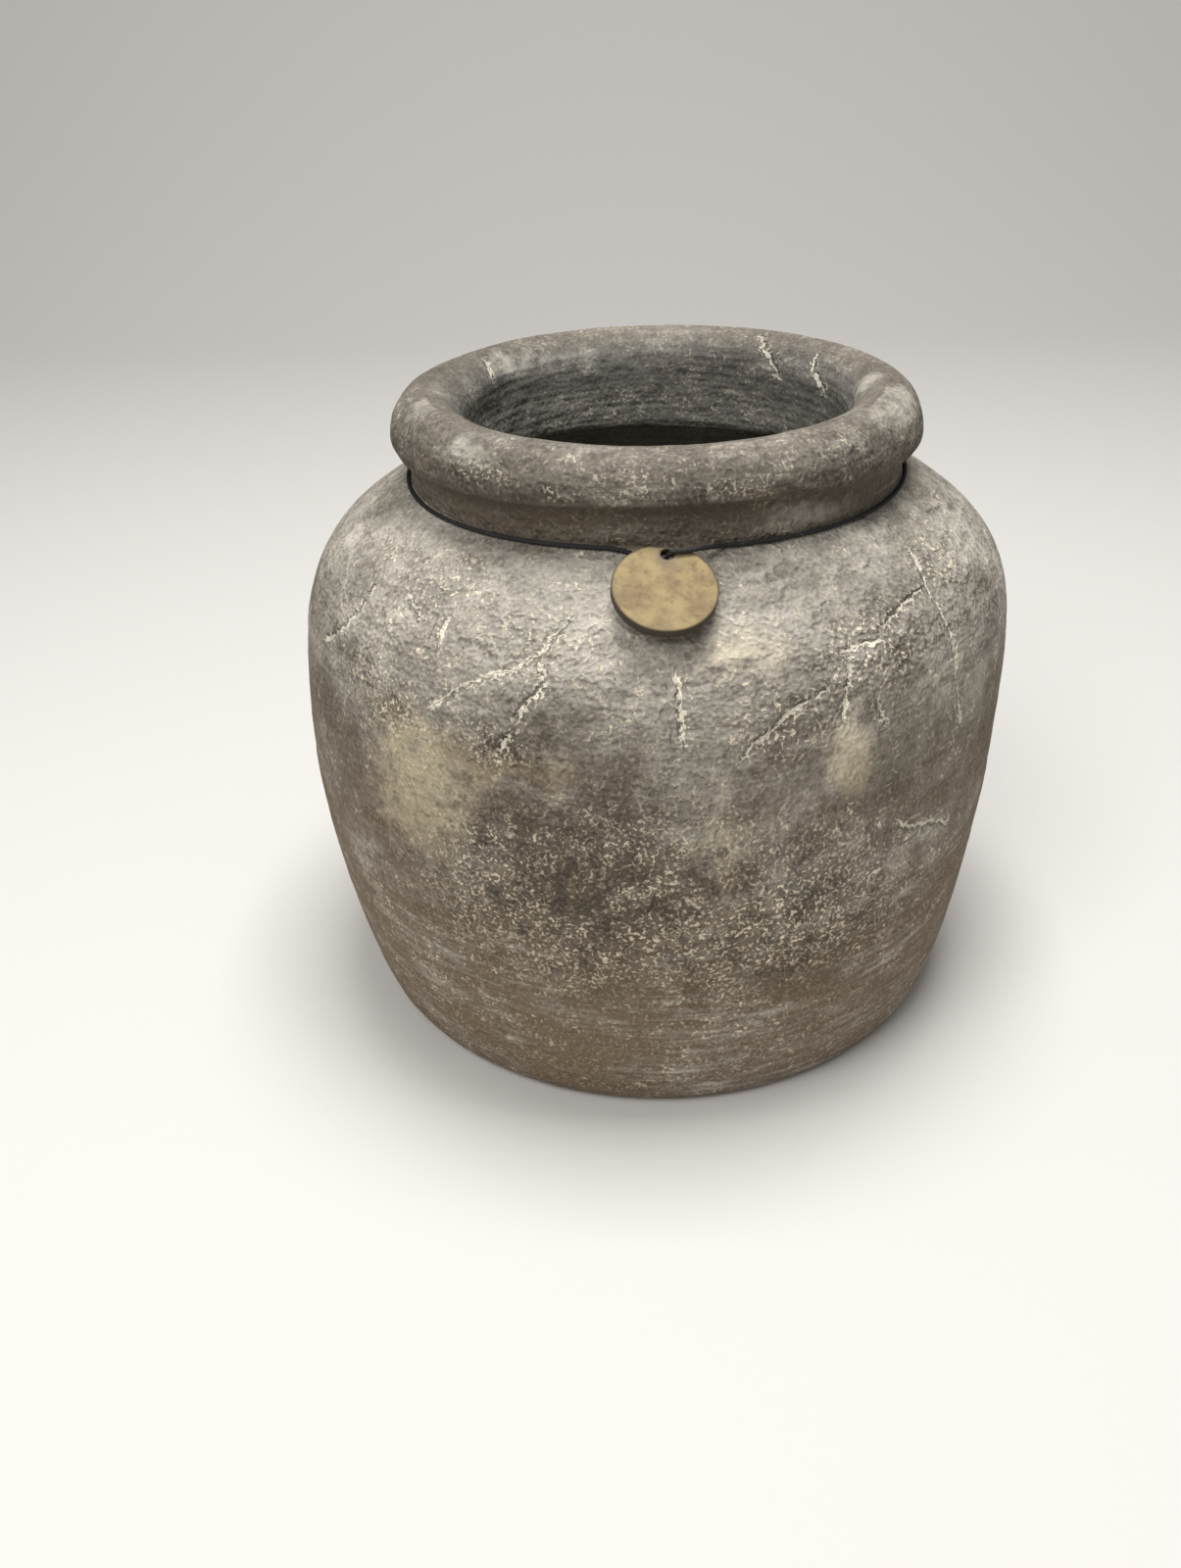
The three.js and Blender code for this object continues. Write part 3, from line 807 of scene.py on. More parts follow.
# On the rim, the neck and just below it.
SEEN_UPPER_STAINS = {
    "left rub": (465, 458, 12.0, 5.0, 0.75, PALE_RUB),
    "left rub below": (491, 473, 11.0, 4.0, 0.60, PALE_RUB),
    "left top rub": (430, 415, 14.0, 6.0, 0.55, PALE_RUB),
    "front rub": (620, 462, 20.0, 4.0, 0.40, PALE_RUB),
    "right front rub": (760, 462, 16.0, 4.0, 0.45, PALE_RUB),
    "right rub": (868, 455, 9.0, 5.0, 0.55, PALE_RUB),
    "right rub above": (905, 425, 10.0, 6.0, 0.60, PALE_RUB),
    # A painted highlight on the top of the rim, in the pale colour of the rubs.
    "right top painted highlight": (922, 400, 8.0, 6.0, 0.60, PALE_RUB),
    "right side rub": (923, 415, 16.0, 7.0, 0.55, PALE_RUB),
    "left brown patch": (435, 470, 12.0, 5.0, 0.50, BROWN_STAIN),
    "brown line": (780, 500, 18.0, 3.0, 0.40, BROWN_STAIN),
    # Dark under the lip, in the neck's colour of dirt and painted shade.
    "dark lip": (825, 503, 12.0, 2.0, 0.75, NECK_DIRT_AND_SHADE),
    "brown right neck": (843, 520, 14.0, 3.0, 0.35, BROWN_STAIN),
    "right neck wash": (815, 525, 24.0, 6.0, 0.70, GREY_WASH),
    "left neck wash": (500, 520, 16.0, 3.0, 0.30, GREY_WASH),
    "wash beside the tag": (563, 602, 17.0, 9.0, 0.42, GREY_WASH),
}
SEEN_INNER_STAINS = {
    "left rub": (520, 372, 16.0, 6.0, 0.75, PALE_RUB),
    "far left rub": (484, 395, 10.0, 7.0, 0.50, PALE_RUB),
    "left back rub": (580, 362, 16.0, 6.0, 0.45, PALE_RUB),
    "low middle rub": (640, 418, 16.0, 5.0, 0.35, PALE_RUB),
    "middle rub": (700, 388, 18.0, 7.0, 0.40, PALE_RUB),
    "right rub": (780, 382, 12.0, 8.0, 0.35, PALE_RUB),
    "right back rub": (838, 378, 9.0, 5.0, 0.35, PALE_RUB),
    "far right rub": (885, 388, 9.0, 6.0, 0.65, PALE_RUB),
    "dark line": (695, 364, 26.0, 1.8, 0.65, INSIDE_DARK),
    "left dark patch": (480, 425, 22.0, 9.0, 0.60, INSIDE_DARK),
    "left middle dark patch": (545, 400, 14.0, 8.0, 0.45, INSIDE_DARK),
    "right dark patch": (825, 400, 14.0, 9.0, 0.50, INSIDE_DARK),
}

# Not seen, as azimuths and heights.
OTHER_STAINS = {
    "right back yellow stain": (60, 128, 24.0, 18.0, 0.60, YELLOW_STAIN),
    "left back cream stain": (128, 118, 18.0, 13.0, 0.50, CREAM_STAIN),
    "back brown stain": (95, 160, 20.0, 9.0, 0.45, BROWN_STAIN),
    "right side yellow stain": (0, 112, 16.0, 20.0, 0.50, YELLOW_STAIN),
}
OTHER_UPPER_STAINS = {
    "right back rub": (60, 218, 16.0, 7.0, 0.55, PALE_RUB),
    "left back rub": (120, 216, 20.0, 6.0, 0.50, PALE_RUB),
    "left rub": (170, 214, 14.0, 6.0, 0.50, PALE_RUB),
}

# %% Where white crumbs gather and where the clay is coarse: where, half width and half height
SEEN_CRUMB_ZONES = {
    "left of the lip": (571, 505, 9.0, 2.5),
    "middle of the lip": (640, 508, 11.0, 2.5),
    "left rim": (484, 484, 14.0, 4.0),
    "right of the lip": (745, 500, 12.0, 3.0),
    "right rim": (866, 455, 9.0, 5.0),
    "far left shoulder": (405, 560, 14.0, 7.0),
    "left shoulder": (455, 600, 22.0, 9.0),
    "long crack": (560, 655, 22.0, 9.0),
    "hanging crack": (890, 665, 22.0, 14.0),
    "slanting scrape": (800, 740, 18.0, 12.0),
    "right shoulder": (960, 570, 16.0, 9.0),
}
SEEN_COARSE_ZONES = {
    "front": (600, 920, 60.0, 40.0),
    "right front": (800, 945, 52.0, 34.0),
    "left scrape": (390, 714, 19.0, 13.0),
    "left belly": (500, 755, 20.0, 10.0),
}
OTHER_COARSE_ZONES = {
    "right back": (30, 84, 52.0, 30.0),
    "left back": (112, 92, 56.0, 34.0),
    "left side": (178, 120, 36.0, 20.0),
}

# %% Noises of the clay
# How much brush strokes and finer streaks squeeze the three coordinates.
BRUSHED = (1.0, 1.0, 3.4)
STREAKED = (0.45, 0.45, 6.0)

# Sizes of the noises, in millimetres.
CLOUDS = 46.0
SMEARS = 40.0
FLAKES = 12.0
TEARS = 12.0
STROKES = 11.0
SWELLS = 9.0
MOTTLING = 7.0
LIME_SWELLINGS = 5.0
WORM_GAPS = 3.6
STUCCO = 3.0
BENDS = 2.4
WORMS = 2.3
PITS = 1.6
CRUMBS = 1.3
SAND = 1.2

# How far worms are pushed either way, over what span a line of lime wanders, half its width where
# it is thinnest, and what a swelling adds to that, in millimetres.
WORM_PUSH = 1.1
LIME_PUSH = 3.6
LIME_HALF_WIDTH = 0.42
LIME_HALF_SPREAD = 1.1

# Heights between which the clay changes, in millimetres.
PALE_SHOULDER = (138.0, 190.0)
LOW_WALL_HEIGHTS = (112.0, 58.0)
# Heights over which the lower wall takes a painted warm tint of light bounced up from a brown cloth.
WARM_BOUNCE_HEIGHTS = (176.0, 96.0)
HOLLOW_INSIDE = (190.0, 178.0)


# %% Materials and noises
def new_material(name):
    """An empty material as a Tree."""
    material = bpy.data.materials.new(name)
    material.use_nodes = True
    material.node_tree.nodes.clear()
    tree = Tree(material.node_tree)
    tree.material = material
    return tree


def finish_material(tree, colour, roughness, height, **constants):
    """Wires a Principled shader: colour, roughness, and a height in millimetres as its bump."""
    bump = tree.node("ShaderNodeBump", {"Strength": 1.0, "Distance": MM, "Height": height})
    values = {"Base Color": colour, "Roughness": roughness, "Normal": bump}
    values.update({name.replace("_", " "): value for name, value in constants.items()})
    surface = tree.node("ShaderNodeBsdfPrincipled", values)
    tree.node("ShaderNodeOutputMaterial", {"Surface": surface})
    return tree.material


def pushed_about(tree, point, size, amount):
    """A point pushed about by noise of one size, by up to an amount, both in millimetres."""
    push = tree.noise(point, size, 3.0, 0.6, output="Color")
    push = tree.scaled(tree.vector("SUBTRACT", push, (0.5, 0.5, 0.5)), 2 * amount)
    return tree.vector("ADD", point, push)


def grit_and_worms(tree, point):
    """Pale crumbs and worm-like threads, each as a height from 0 to 1."""
    bent = pushed_about(tree, point, BENDS, WORM_PUSH)
    worms = tree.absolute(tree.noise(bent, WORMS, 1.0, 0.5) - 0.5)
    gaps = tree.noise(point, WORM_GAPS, 2.0)
    worms = tree.smooth(0.05, 0.012, worms) * tree.smooth(0.51, 0.6, gaps)
    crumbs = tree.smooth(0.55, 0.61, tree.noise(bent, CRUMBS, 1.0)) * tree.smooth(0.68, 0.52, gaps)
    return crumbs, worms


def lime_in_cracks(tree, point, crack):
    """Lime along the cut lines, and a band along one side of each line that is the cut's depth in the bump
    and its painted shadow in the colour, each from 0 to 1.
    """
    across = crack["Y"] + (tree.noise(point, BENDS, 2.0, 0.65) - 0.5) * LIME_PUSH
    away = tree.absolute(across)
    swelling = tree.noise(point, LIME_SWELLINGS, 2.0, 0.6)
    width = tree.smooth(0.38, 0.70, swelling) * LIME_HALF_SPREAD + LIME_HALF_WIDTH
    line = tree.smooth(1.0, 0.5, away / width) * tree.smooth(0.30, 0.42, swelling)
    crumbs = tree.smooth(0.55, 0.64, tree.noise(point, CRUMBS, 1.0)) * tree.smooth(3.4, 0.8, away)
    # Offset to one side of the line: it deepens the bump, and in the colour it is painted shadow of the
    # groove's wall.
    cut = tree.smooth(0.9, 0.2, tree.absolute(across - 0.8)) * tree.smooth(0.0, 0.25, crack["Z"])
    return tree.most(line, crumbs * 0.9) * crack["Z"], cut


# %% The clay's material
def clay_material():
    tree = new_material("weathered clay")
    point = tree.scaled(tree.node("ShaderNodeTexCoord")["Object"], 1 / MM)
    height = tree.node("ShaderNodeSeparateXYZ", [point])["Z"]

    def stored(name, output="Fac"):
        return tree.node("ShaderNodeAttribute", output=output, attribute_name=name)

    inside, coarse, crumbly, cover = (stored(name) for name in ("inside", "coarse", "crumbly", "cover"))
    crack = tree.node("ShaderNodeSeparateXYZ", [stored("crack", "Vector")])

    brushed = tree.vector("MULTIPLY", point, BRUSHED)
    streaked = tree.vector("MULTIPLY", point, STREAKED)
    cloud = tree.noise(point, CLOUDS, 5.0, 0.6) - 0.5
    smear = tree.noise(brushed, SMEARS, 4.0, 0.6) - 0.5
    stroke = tree.noise(streaked, STROKES, 2.0, 0.55) - 0.5
    mottle = tree.noise(point, MOTTLING, 4.0, 0.62) - 0.5
    stucco = tree.noise(point, STUCCO, 1.0, 0.6) - 0.5
    sand = tree.noise(point, SAND, 0.0) - 0.5
    frayed = mottle * 1.1 + smear * 0.8

    outside = 1 - inside
    shoulder = tree.smooth(*PALE_SHOULDER, height)
    low_wall = tree.smooth(*LOW_WALL_HEIGHTS, height)
    rim = tree.smooth(CREASE_HEIGHT + 4.0, LEDGE_HEIGHT, height)
    flakes = tree.smooth(0.47, 0.55, tree.noise(point, FLAKES, 3.0, 0.6))
    calm = 1 - rim * 0.5
    tone = 0.45 + (cloud * 1.0 + smear * 0.75 + mottle * 0.5) * calm + stroke * (0.25 + low_wall * 0.9)
    # The shoulder is paler, and the wall a little darker towards the bottom.
    tone = tone + shoulder * 0.10 - low_wall * 0.05 - coarse * 0.04
    # Painted highlight and shade: the stucco and sand noises that raise the bump also make the colour paler
    # where the skin stands up and darker in its hollows.
    tone = tone + flakes * 0.055 * calm + stucco * 0.14 + sand * 0.12
    # The rim and neck are darker clay. The neck and the roll's underside are darker still, and the top of the
    # roll is lightened again: painted shade below, painted light on top.
    tone = tone - rim * 0.43 + tree.smooth(LEDGE_HEIGHT - 1.0, RIM_HEIGHT + 12.0, height) * 0.19
    colour = tree.node("ShaderNodeValToRGB", {"Fac": tone}, stops=BODY_COLOURS)
    # Painted warm light bounced up from a brown cloth tints the lower wall, broken up by the clay's own
    # patchy tone.
    warm_band = tree.smooth(*WARM_BOUNCE_HEIGHTS, height) * outside
    warmth = 0.42 + low_wall * 0.34 - cloud * 1.2 - smear * 0.6 - stroke * low_wall * 1.2
    colour = tree.mix(warm_band * warmth, colour, WARM_BOUNCE_AND_EARTH)

    # The neck under the roll is painted dark brown: partly dirt, partly painted shade from the rim above.
    neck = tree.smooth(CREASE_HEIGHT - 0.8, CREASE_HEIGHT + 1.2, height)
    neck = neck * tree.smooth(LEDGE_HEIGHT + 5.0, LEDGE_HEIGHT - 2.0, height) * outside
    colour = tree.mix(neck * (0.88 + stroke * 0.8 + mottle * 0.8), colour, NECK_DIRT_AND_SHADE)
    inner_colour = tree.mix(tree.smooth(-0.32, 0.42, smear + mottle * 0.6), INSIDE_DARK, INSIDE_PALE)
    deep = tree.smooth(RIM_HEIGHT + 13.4, RIM_HEIGHT + 6.0, height) * inside
    # Below the neck the inside is painted paler, as painted light that lifts the shade in the hollow.
    far_down = tree.smooth(*HOLLOW_INSIDE, height) * (0.75 + mottle * 1.5 + stroke)
    inner_colour = tree.mix(far_down, inner_colour, HOLLOW_PAINTED_LIGHT)
    colour = tree.mix(deep * 0.92, colour, inner_colour)
    stain = cover * tree.smooth(-0.35, 0.5, cover - 0.45 + frayed * 1.5 + stucco * 0.5)
    colour = tree.mix(stain, colour, stored("stain", "Color"))

    crumbs, worms = grit_and_worms(tree, point)
    scattered = tree.smooth(-0.05, 0.25, mottle + cloud * 0.6) * 0.7 + 0.12
    thick = coarse * tree.smooth(-0.22, 0.1, mottle * 0.7 + cloud * 0.8)
    gathered = tree.most(tree.most(thick, crumbly * 0.8), scattered) * (1 - neck * 0.7) * (1 - rim * 0.4)
    crumbs = crumbs * gathered * (1 - inside * 0.4)
    worms = worms * tree.most(thick, scattered * 0.3)
    ground = tree.mix(coarse * (0.36 - mottle * 3.0 - cloud * 1.6), colour, DARK_CLAY)
    colour = tree.mix(tree.most(crumbs, worms), ground, GRIT)
    torn = tree.smooth(0.54, 0.64, tree.noise(brushed, TEARS, 4.0, 0.7)) * (1 - coarse * 0.6)
    torn = torn * tree.smooth(-0.12, 0.2, cloud + shoulder * 0.12) * (1 - tree.most(neck * 0.8, inside * 0.6))
    colour = tree.mix(torn * 0.5 * (1 - rim * 0.6), colour, PALE_RUB)

    pits = tree.smooth(0.34, 0.26, tree.noise(point, PITS, 2.0, 0.6))
    pits = pits * tree.smooth(0.05, 0.2, cloud - mottle + coarse * 0.2)
    lime, cut = lime_in_cracks(tree, point, crack)
    # Painted shadow beside each crack, on the side where the groove's wall faces away from the light.
    colour = tree.mix(cut * 0.35, colour, DARK_CLAY)
    colour = tree.mix(lime, colour, LIME)
    # Painted shade: the pits, which the bump also presses in, are darkened in the colour.
    colour = tree.mix(pits * 0.6, colour, DARK_CLAY)
    # The same painted highlight and shade of the stucco and sand relief, in the colour.
    colour = tree.scaled(colour, 1 + sand * 0.35 + stucco * 0.2)

    rough = (0.5 + coarse * 0.8 + crumbly * 0.3) * (1 - inside * 0.5) * (1 - rim * 0.3)
    bump = tree.noise(point, SWELLS, 1.0) * 2.4 * (1 - inside * 0.4)
    bump = bump + tree.noise(streaked, STROKES, 0.0) * 0.5
    bump = bump + flakes * 0.30 * (1 - inside * 0.5) * (1 - rim * 0.6)
    bump = bump + (stucco * 2.1 + sand * 1.1) * rough
    bump = bump + crumbs * 0.4 + worms * 0.4 + torn * 0.12 + lime * 0.5 - cut * 0.5 - pits * 0.4
    return finish_material(tree, colour, 0.9, bump, Specular_IOR_Level=0.3)


clay = clay_material()
print(len(clay.node_tree.nodes), "nodes in the clay")

# %% [markdown]
# ## Marking the clay with Geometry Nodes
# A stain or a coarse zone changes slowly over the wall, so it doesn't need the fine noise of the
# material: a second tree works each one out at every point of the mesh and stores it. Each mark
# is a soft ellipsoid round a place on the clay. The stains lie over each other like thin washes,
# so their colour and how much of the clay they cover are kept apart.

# %% The marking tree
MARKING = {
    "Wander width": 34.0,
    "Wander": 15.0,
    "Fray width": 6.0,
    "Fray": 4.0,
}
PATCH_END = 1.45
PATCH_MIDDLE = 0.2
NEVER_ZERO = 0.001


def patch(tree, point, place, half_width, half_height):
    """A mask that is 1 in the middle of a place on the clay and fades slowly to 0 round it."""
    away = tree.vector("SUBTRACT", point, tuple(place))
    away = tree.vector("MULTIPLY", away, (1 / half_width, 1 / half_width, 1 / half_height))
    return tree.smooth(PATCH_END, PATCH_MIDDLE, tree.vector("LENGTH", away, output="Value"))


def any_of(tree, point, zones, find_place):
    """A mask of every zone of a list."""
    mask = 0.0
    for *where, half_width, half_height in zones.values():
        mask = tree.most(patch(tree, point, find_place(*where), half_width, half_height), mask)
    return mask


def washes(tree, point, stains, find_place, side, colour, cover):
    """Lays soft stains over a colour and its cover, on one side of the wall."""
    for *where, half_width, half_height, strength, stain in stains.values():
        share = patch(tree, point, find_place(*where), half_width, half_height)
        share = share * side * strength
        cover = share + cover * (1 - share)
        colour = tree.mix(share / (cover + NEVER_ZERO), colour, stain)
    return colour, cover


def marking_tree(sizes, material):
    tree, size = geometry_tree("mark the jar", sizes)
    point = tree.scaled(tree.node("GeometryNodeInputPosition"), 1 / MM)
    inside = tree.node("GeometryNodeInputNamedAttribute", ["inside"], data_type="FLOAT")
    wandering = pushed_about(tree, point, size["Wander width"], size["Wander"])
    wandering = pushed_about(tree, wandering, size["Fray width"], size["Fray"])
    near = pushed_about(tree, point, size["Fray width"], size["Fray"])
    outside = 1 - inside
    colour, cover = washes(tree, wandering, SEEN_STAINS, seen_on_wall, outside, DARK_CLAY, 0.0)
    colour, cover = washes(tree, wandering, OTHER_STAINS, on_wall, outside, colour, cover)
    colour, cover = washes(tree, near, SEEN_UPPER_STAINS, seen_on_wall, outside, colour, cover)
    colour, cover = washes(tree, near, OTHER_UPPER_STAINS, on_wall, outside, colour, cover)
    colour, cover = washes(tree, near, SEEN_INNER_STAINS, seen_inside, inside, colour, cover)
    coarse_here = any_of(tree, wandering, SEEN_COARSE_ZONES, seen_on_wall)
    coarse_elsewhere = any_of(tree, wandering, OTHER_COARSE_ZONES, on_wall)
    marks = {
        "coarse": tree.most(coarse_here, coarse_elsewhere) * outside,
        "crumbly": any_of(tree, near, SEEN_CRUMB_ZONES, seen_on_wall) * outside,
        "cover": cover,
        "stain": colour,
    }
    jar = size["Geometry"]
    for name, value in marks.items():
        jar = tree.node("GeometryNodeStoreNamedAttribute", {
            "Geometry": jar, "Name": name, "Value": value,
        }, data_type="FLOAT_COLOR" if name == "stain" else "FLOAT", domain="POINT")
    finish_tree(tree, jar, material)
    return tree


# %% [markdown]
# The profile becomes a line mesh with one attribute, inside, and goes through the throwing tree.
# The clay is worked, then marked, and the jar rides on its body and stands for the plain solid.

# %% Throw, work and mark the jar
def profile_mesh():
    mesh = bpy.data.meshes.new("profile")
    points = [(radius, 0, height) for radius, height in profile]
    mesh.from_pydata(points, [(i, i + 1) for i in range(len(points) - 1)], [])
    attribute = mesh.attributes.new("inside", "FLOAT", "POINT")
    attribute.data.foreach_set("value", [float(i >= first_inside) for i in range(len(points))])
    return mesh


JAR_SIZES = {**HAND, **SKIN}
jar_mesh = run_tree(throwing_tree(JAR_SIZES, clay), JAR_SIZES, profile_mesh(), "thrown")
work_the_clay(jar_mesh)
jar_mesh = run_tree(marking_tree(MARKING, clay), MARKING, jar_mesh, "marked")
thrown_jar = add_piece("thrown_jar", jar_mesh, "vessel")
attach(thrown_jar, "jar")

# %% [markdown]
# ## The cord's route
# The cord lies in the crease all the way round, just off the clay. At the front it leaves the
# crease, dips under the tag's left shoulder, comes up through the hole and crosses the tag's right
# shoulder on its way back. At the back it is tied in a reef knot, which is two loops, each passed
# round the other's two legs. The points are chosen in the tag's own frame, on the shoulder and in
# the knot's own frame, and a centripetal Catmull-Rom line joins them, because it passes through
# each point without overshooting where they lie close together.

# %% Cord and tag dimensions, in millimetres and degrees
CORD_DIAMETER = 1.6
CORD_CLEARANCE = 0.3
CORD_TAIL = 15.0
CORD_STEPS = 10
GROOVE_STATIONS = 30
GROOVE_INSET = 2
TAG_DIAMETER = 30.6
TAG_THICKNESS = 3.0
TAG_FLAT = 1.0
HOLE_DIAMETER = 3.6
HOLE_EDGE = 0.6
TAG_AZIMUTH = -87.9
TAG_STAND_OFF = 7.6
TAG_SLOPE = 29.7
TAG_TIP = 4.3
TAG_SWING = 5.1
TAG_SLACK = 0.3
GROOVE_MARGIN = 0.1

cord_radius = CORD_DIAMETER / 2
over_tag = TAG_THICKNESS / 2 + CORD_CLEARANCE + cord_radius
over_clay = over_tag + cord_radius + CORD_CLEARANCE + TAG_SLACK
cord_lift = cord_radius + CORD_CLEARANCE
slope = math.radians(SHOULDER_SLOPE)
groove_reach = CREASE_RADIUS + cord_lift * (1 - math.sin(slope)) + GROOVE_MARGIN
hole_reach = CREASE_RADIUS + TAG_STAND_OFF


# %% Places on the shoulder and in the tag's frame
above_belly = (outer_line[:, 1] > BELLY_HEIGHT + 1) & (outer_line[:, 1] < CREASE_HEIGHT + 0.01)
shoulder_line = outer_line[above_belly]


def clay_height(radius, azimuth):
    """Height of the shoulder at a radius near the neck and an azimuth in radians."""
    height = np.interp(-radius, -shoulder_line[:, 0], shoulder_line[:, 1])
    return height + clay_lift(Numbers, HAND, azimuth, height)


def off_shoulder(azimuth, reach, x, y, lift):
    """A point off the shoulder, seen from a place on it: x along the neck, y up the shoulder."""
    radius = reach - y * math.cos(slope)
    angle = math.radians(azimuth) + x / reach
    out = radius + lift * math.sin(slope)
    height = clay_height(radius, angle) + lift * math.cos(slope)
    return np.array([out * math.cos(angle), out * math.sin(angle), height])


def in_groove(azimuth):
    return off_shoulder(azimuth, groove_reach, 0, 0, cord_lift)


tag_pivot = Vector((0, -hole_reach, clay_height(hole_reach, math.radians(TAG_AZIMUTH))
                    + over_clay / math.cos(math.radians(TAG_SLOPE))))
to_front = Matrix.Rotation(math.radians(TAG_AZIMUTH + 90), 4, "Z")
tag_frame = (to_front @ Matrix.Translation(tag_pivot) @ Matrix.Rotation(math.radians(TAG_SLOPE), 4, "X")
             @ Matrix.Rotation(math.radians(TAG_TIP), 4, "Y"))


def from_tag(x, y, z):
    return np.array(tag_frame @ Vector((x, y, z)))


# %% The cord's points
LEAVE_TAG = 12.0


def thread_stations():
    on_clay = [(-13, 7), (-10.4, 6), (-7.8, 4.5), (-5.2, 2.5)]
    in_hole = [(2.4, 0.1, over_tag + 0.06), (1.2, 0, over_tag * 0.93), (0.62, 0, over_tag * 0.55)]
    over_edge = [(4.3, 0.2, over_tag + 0.06), (6.5, 0.6, over_tag + 0.06), (8.6, 1.2, over_tag)]
    edge = from_tag(*over_edge[-1])
    groove = in_groove(TAG_AZIMUTH + LEAVE_TAG)
    return ([off_shoulder(TAG_AZIMUTH, hole_reach, x, y, cord_lift) for x, y in on_clay]
            + [from_tag(-x, y, -z) for x, y, z in in_hole] + [from_tag(0, 0, 0)]
            + [from_tag(*place) for place in in_hole[::-1] + over_edge]
            + [edge + (groove - edge) * share for share in (0.18, 0.45, 0.73)])


KNOT_AZIMUTH = 90.0
KNOT_NARROW = 1.06
KNOT_WIDE = 3.1
KNOT_HALF_LENGTH = 5.0
KNOT_CROSSING = 2.2
KNOT_LAYER = 1.05
KNOT_BELOW_GROOVE = 4.3
KNOT_TURN_CENTRE = 2.9
KNOT_SETTLES = (7.4, 11.5)
LEAVE_KNOT = 12.0


def from_knot(x, y, z):
    return off_shoulder(KNOT_AZIMUTH, groove_reach + KNOT_BELOW_GROOVE, -x, y, cord_lift + KNOT_LAYER + z)


def bight_stations(side):
    """One loop of the reef knot, from its tail to its standing part."""
    def layer(x):
        return -side * KNOT_LAYER * math.cos(math.pi * x / KNOT_HALF_LENGTH)

    def spread(x):
        return KNOT_NARROW + (KNOT_WIDE - KNOT_NARROW) * Numbers.smooth(-KNOT_CROSSING, KNOT_CROSSING, x)

    def settled(x):
        start = layer(KNOT_HALF_LENGTH)
        return start + (-KNOT_LAYER - start) * Numbers.smooth(*KNOT_SETTLES, -x)

    legs = [-5, -3.75, -2.5, -1.25, 0, 1.25, 2.5]
    turn = [KNOT_WIDE * heading(angle) + (KNOT_TURN_CENTRE, 0) for angle in (-60, -30, 0, 30, 60)]
    tail = [(-7 - CORD_TAIL * 0.75, -5.6), (-7 - CORD_TAIL * 0.4, -3.4), (-9.4, -2.1), (-7.1, -1.3)]
    lead = [(-7.1, 1.3), (-9.4, 2), (-12.4, 3.3)]
    strand = ([(x, y, settled(x)) for x, y in tail] + [(x, -spread(x), layer(x)) for x in legs]
              + [(x, y, layer(min(x, KNOT_HALF_LENGTH))) for x, y in turn]
              + [(x, spread(x), layer(x)) for x in legs[::-1]] + [(x, y, settled(x)) for x, y in lead])
    return [from_knot(-side * x, y, z) for x, y, z in strand]


def cord_stations():
    def between(start, end):
        inner = np.linspace(start + GROOVE_INSET, end - GROOVE_INSET, GROOVE_STATIONS)
        return [in_groove(azimuth) for azimuth in (start, *inner, end)]

    stations = (bight_stations(-1) + between(KNOT_AZIMUTH + LEAVE_KNOT, 360 + TAG_AZIMUTH - LEAVE_TAG)
                + thread_stations() + between(TAG_AZIMUTH + LEAVE_TAG, KNOT_AZIMUTH - LEAVE_KNOT)
                + bight_stations(1)[::-1])
    return np.array([np.asarray(s)[:3] for s in stations]) + (HAND["Neck offset"], 0, 0)


def smooth_line(points, steps):
    """A centripetal Catmull-Rom line through points, with a number of steps between each two."""
    ends = np.concatenate([[2 * points[0] - points[1]], points, [2 * points[-1] - points[-2]]])
    line = []
    for p0, p1, p2, p3 in zip(ends, ends[1:], ends[2:], ends[3:]):
        d0, d1, d2 = (math.sqrt(np.linalg.norm(b - a)) for a, b in ((p0, p1), (p1, p2), (p2, p3)))
        leave = ((p1 - p0) / d0 - (p2 - p0) / (d0 + d1) + (p2 - p1) / d1) * d1
        arrive = ((p2 - p1) / d1 - (p3 - p1) / (d1 + d2) + (p3 - p2) / d2) * d1
        t = np.arange(steps)[:, None] / steps
        curve = (2 * p1 - 2 * p2 + leave + arrive) * t ** 3 + (3 * p2 - 3 * p1 - 2 * leave - arrive) * t ** 2
        line.append(curve + leave * t + p1)
    return np.concatenate(line + [points[-1:]])


cord_line = smooth_line(cord_stations(), CORD_STEPS)
cord_length = np.linalg.norm(np.diff(cord_line, axis=0), axis=1).sum()
print("cord", round(float(cord_length), 1), "mm long, in", len(cord_line), "points")

# %% [markdown]
# ## Twisting the cord with Geometry Nodes
# A cord is several strands laid round each other. Its section is a circle with one lobe for each
# strand, and the section turns as it travels. The tree resamples the line evenly, tilts each
# point by its distance along the line, and sweeps the lobed section along it.

# %% The cord's tree and material
TWIST = {
    "Diameter": CORD_DIAMETER,
    "Strands": 3,
    "Lobe depth": 0.13,
    "Lay": 4.2,
    "Ring spacing": 0.55,
    "Section sides": 15,
}
CORD_BLACK = (0.012, 0.011, 0.012)
CORD_DUST = (0.09, 0.083, 0.074)


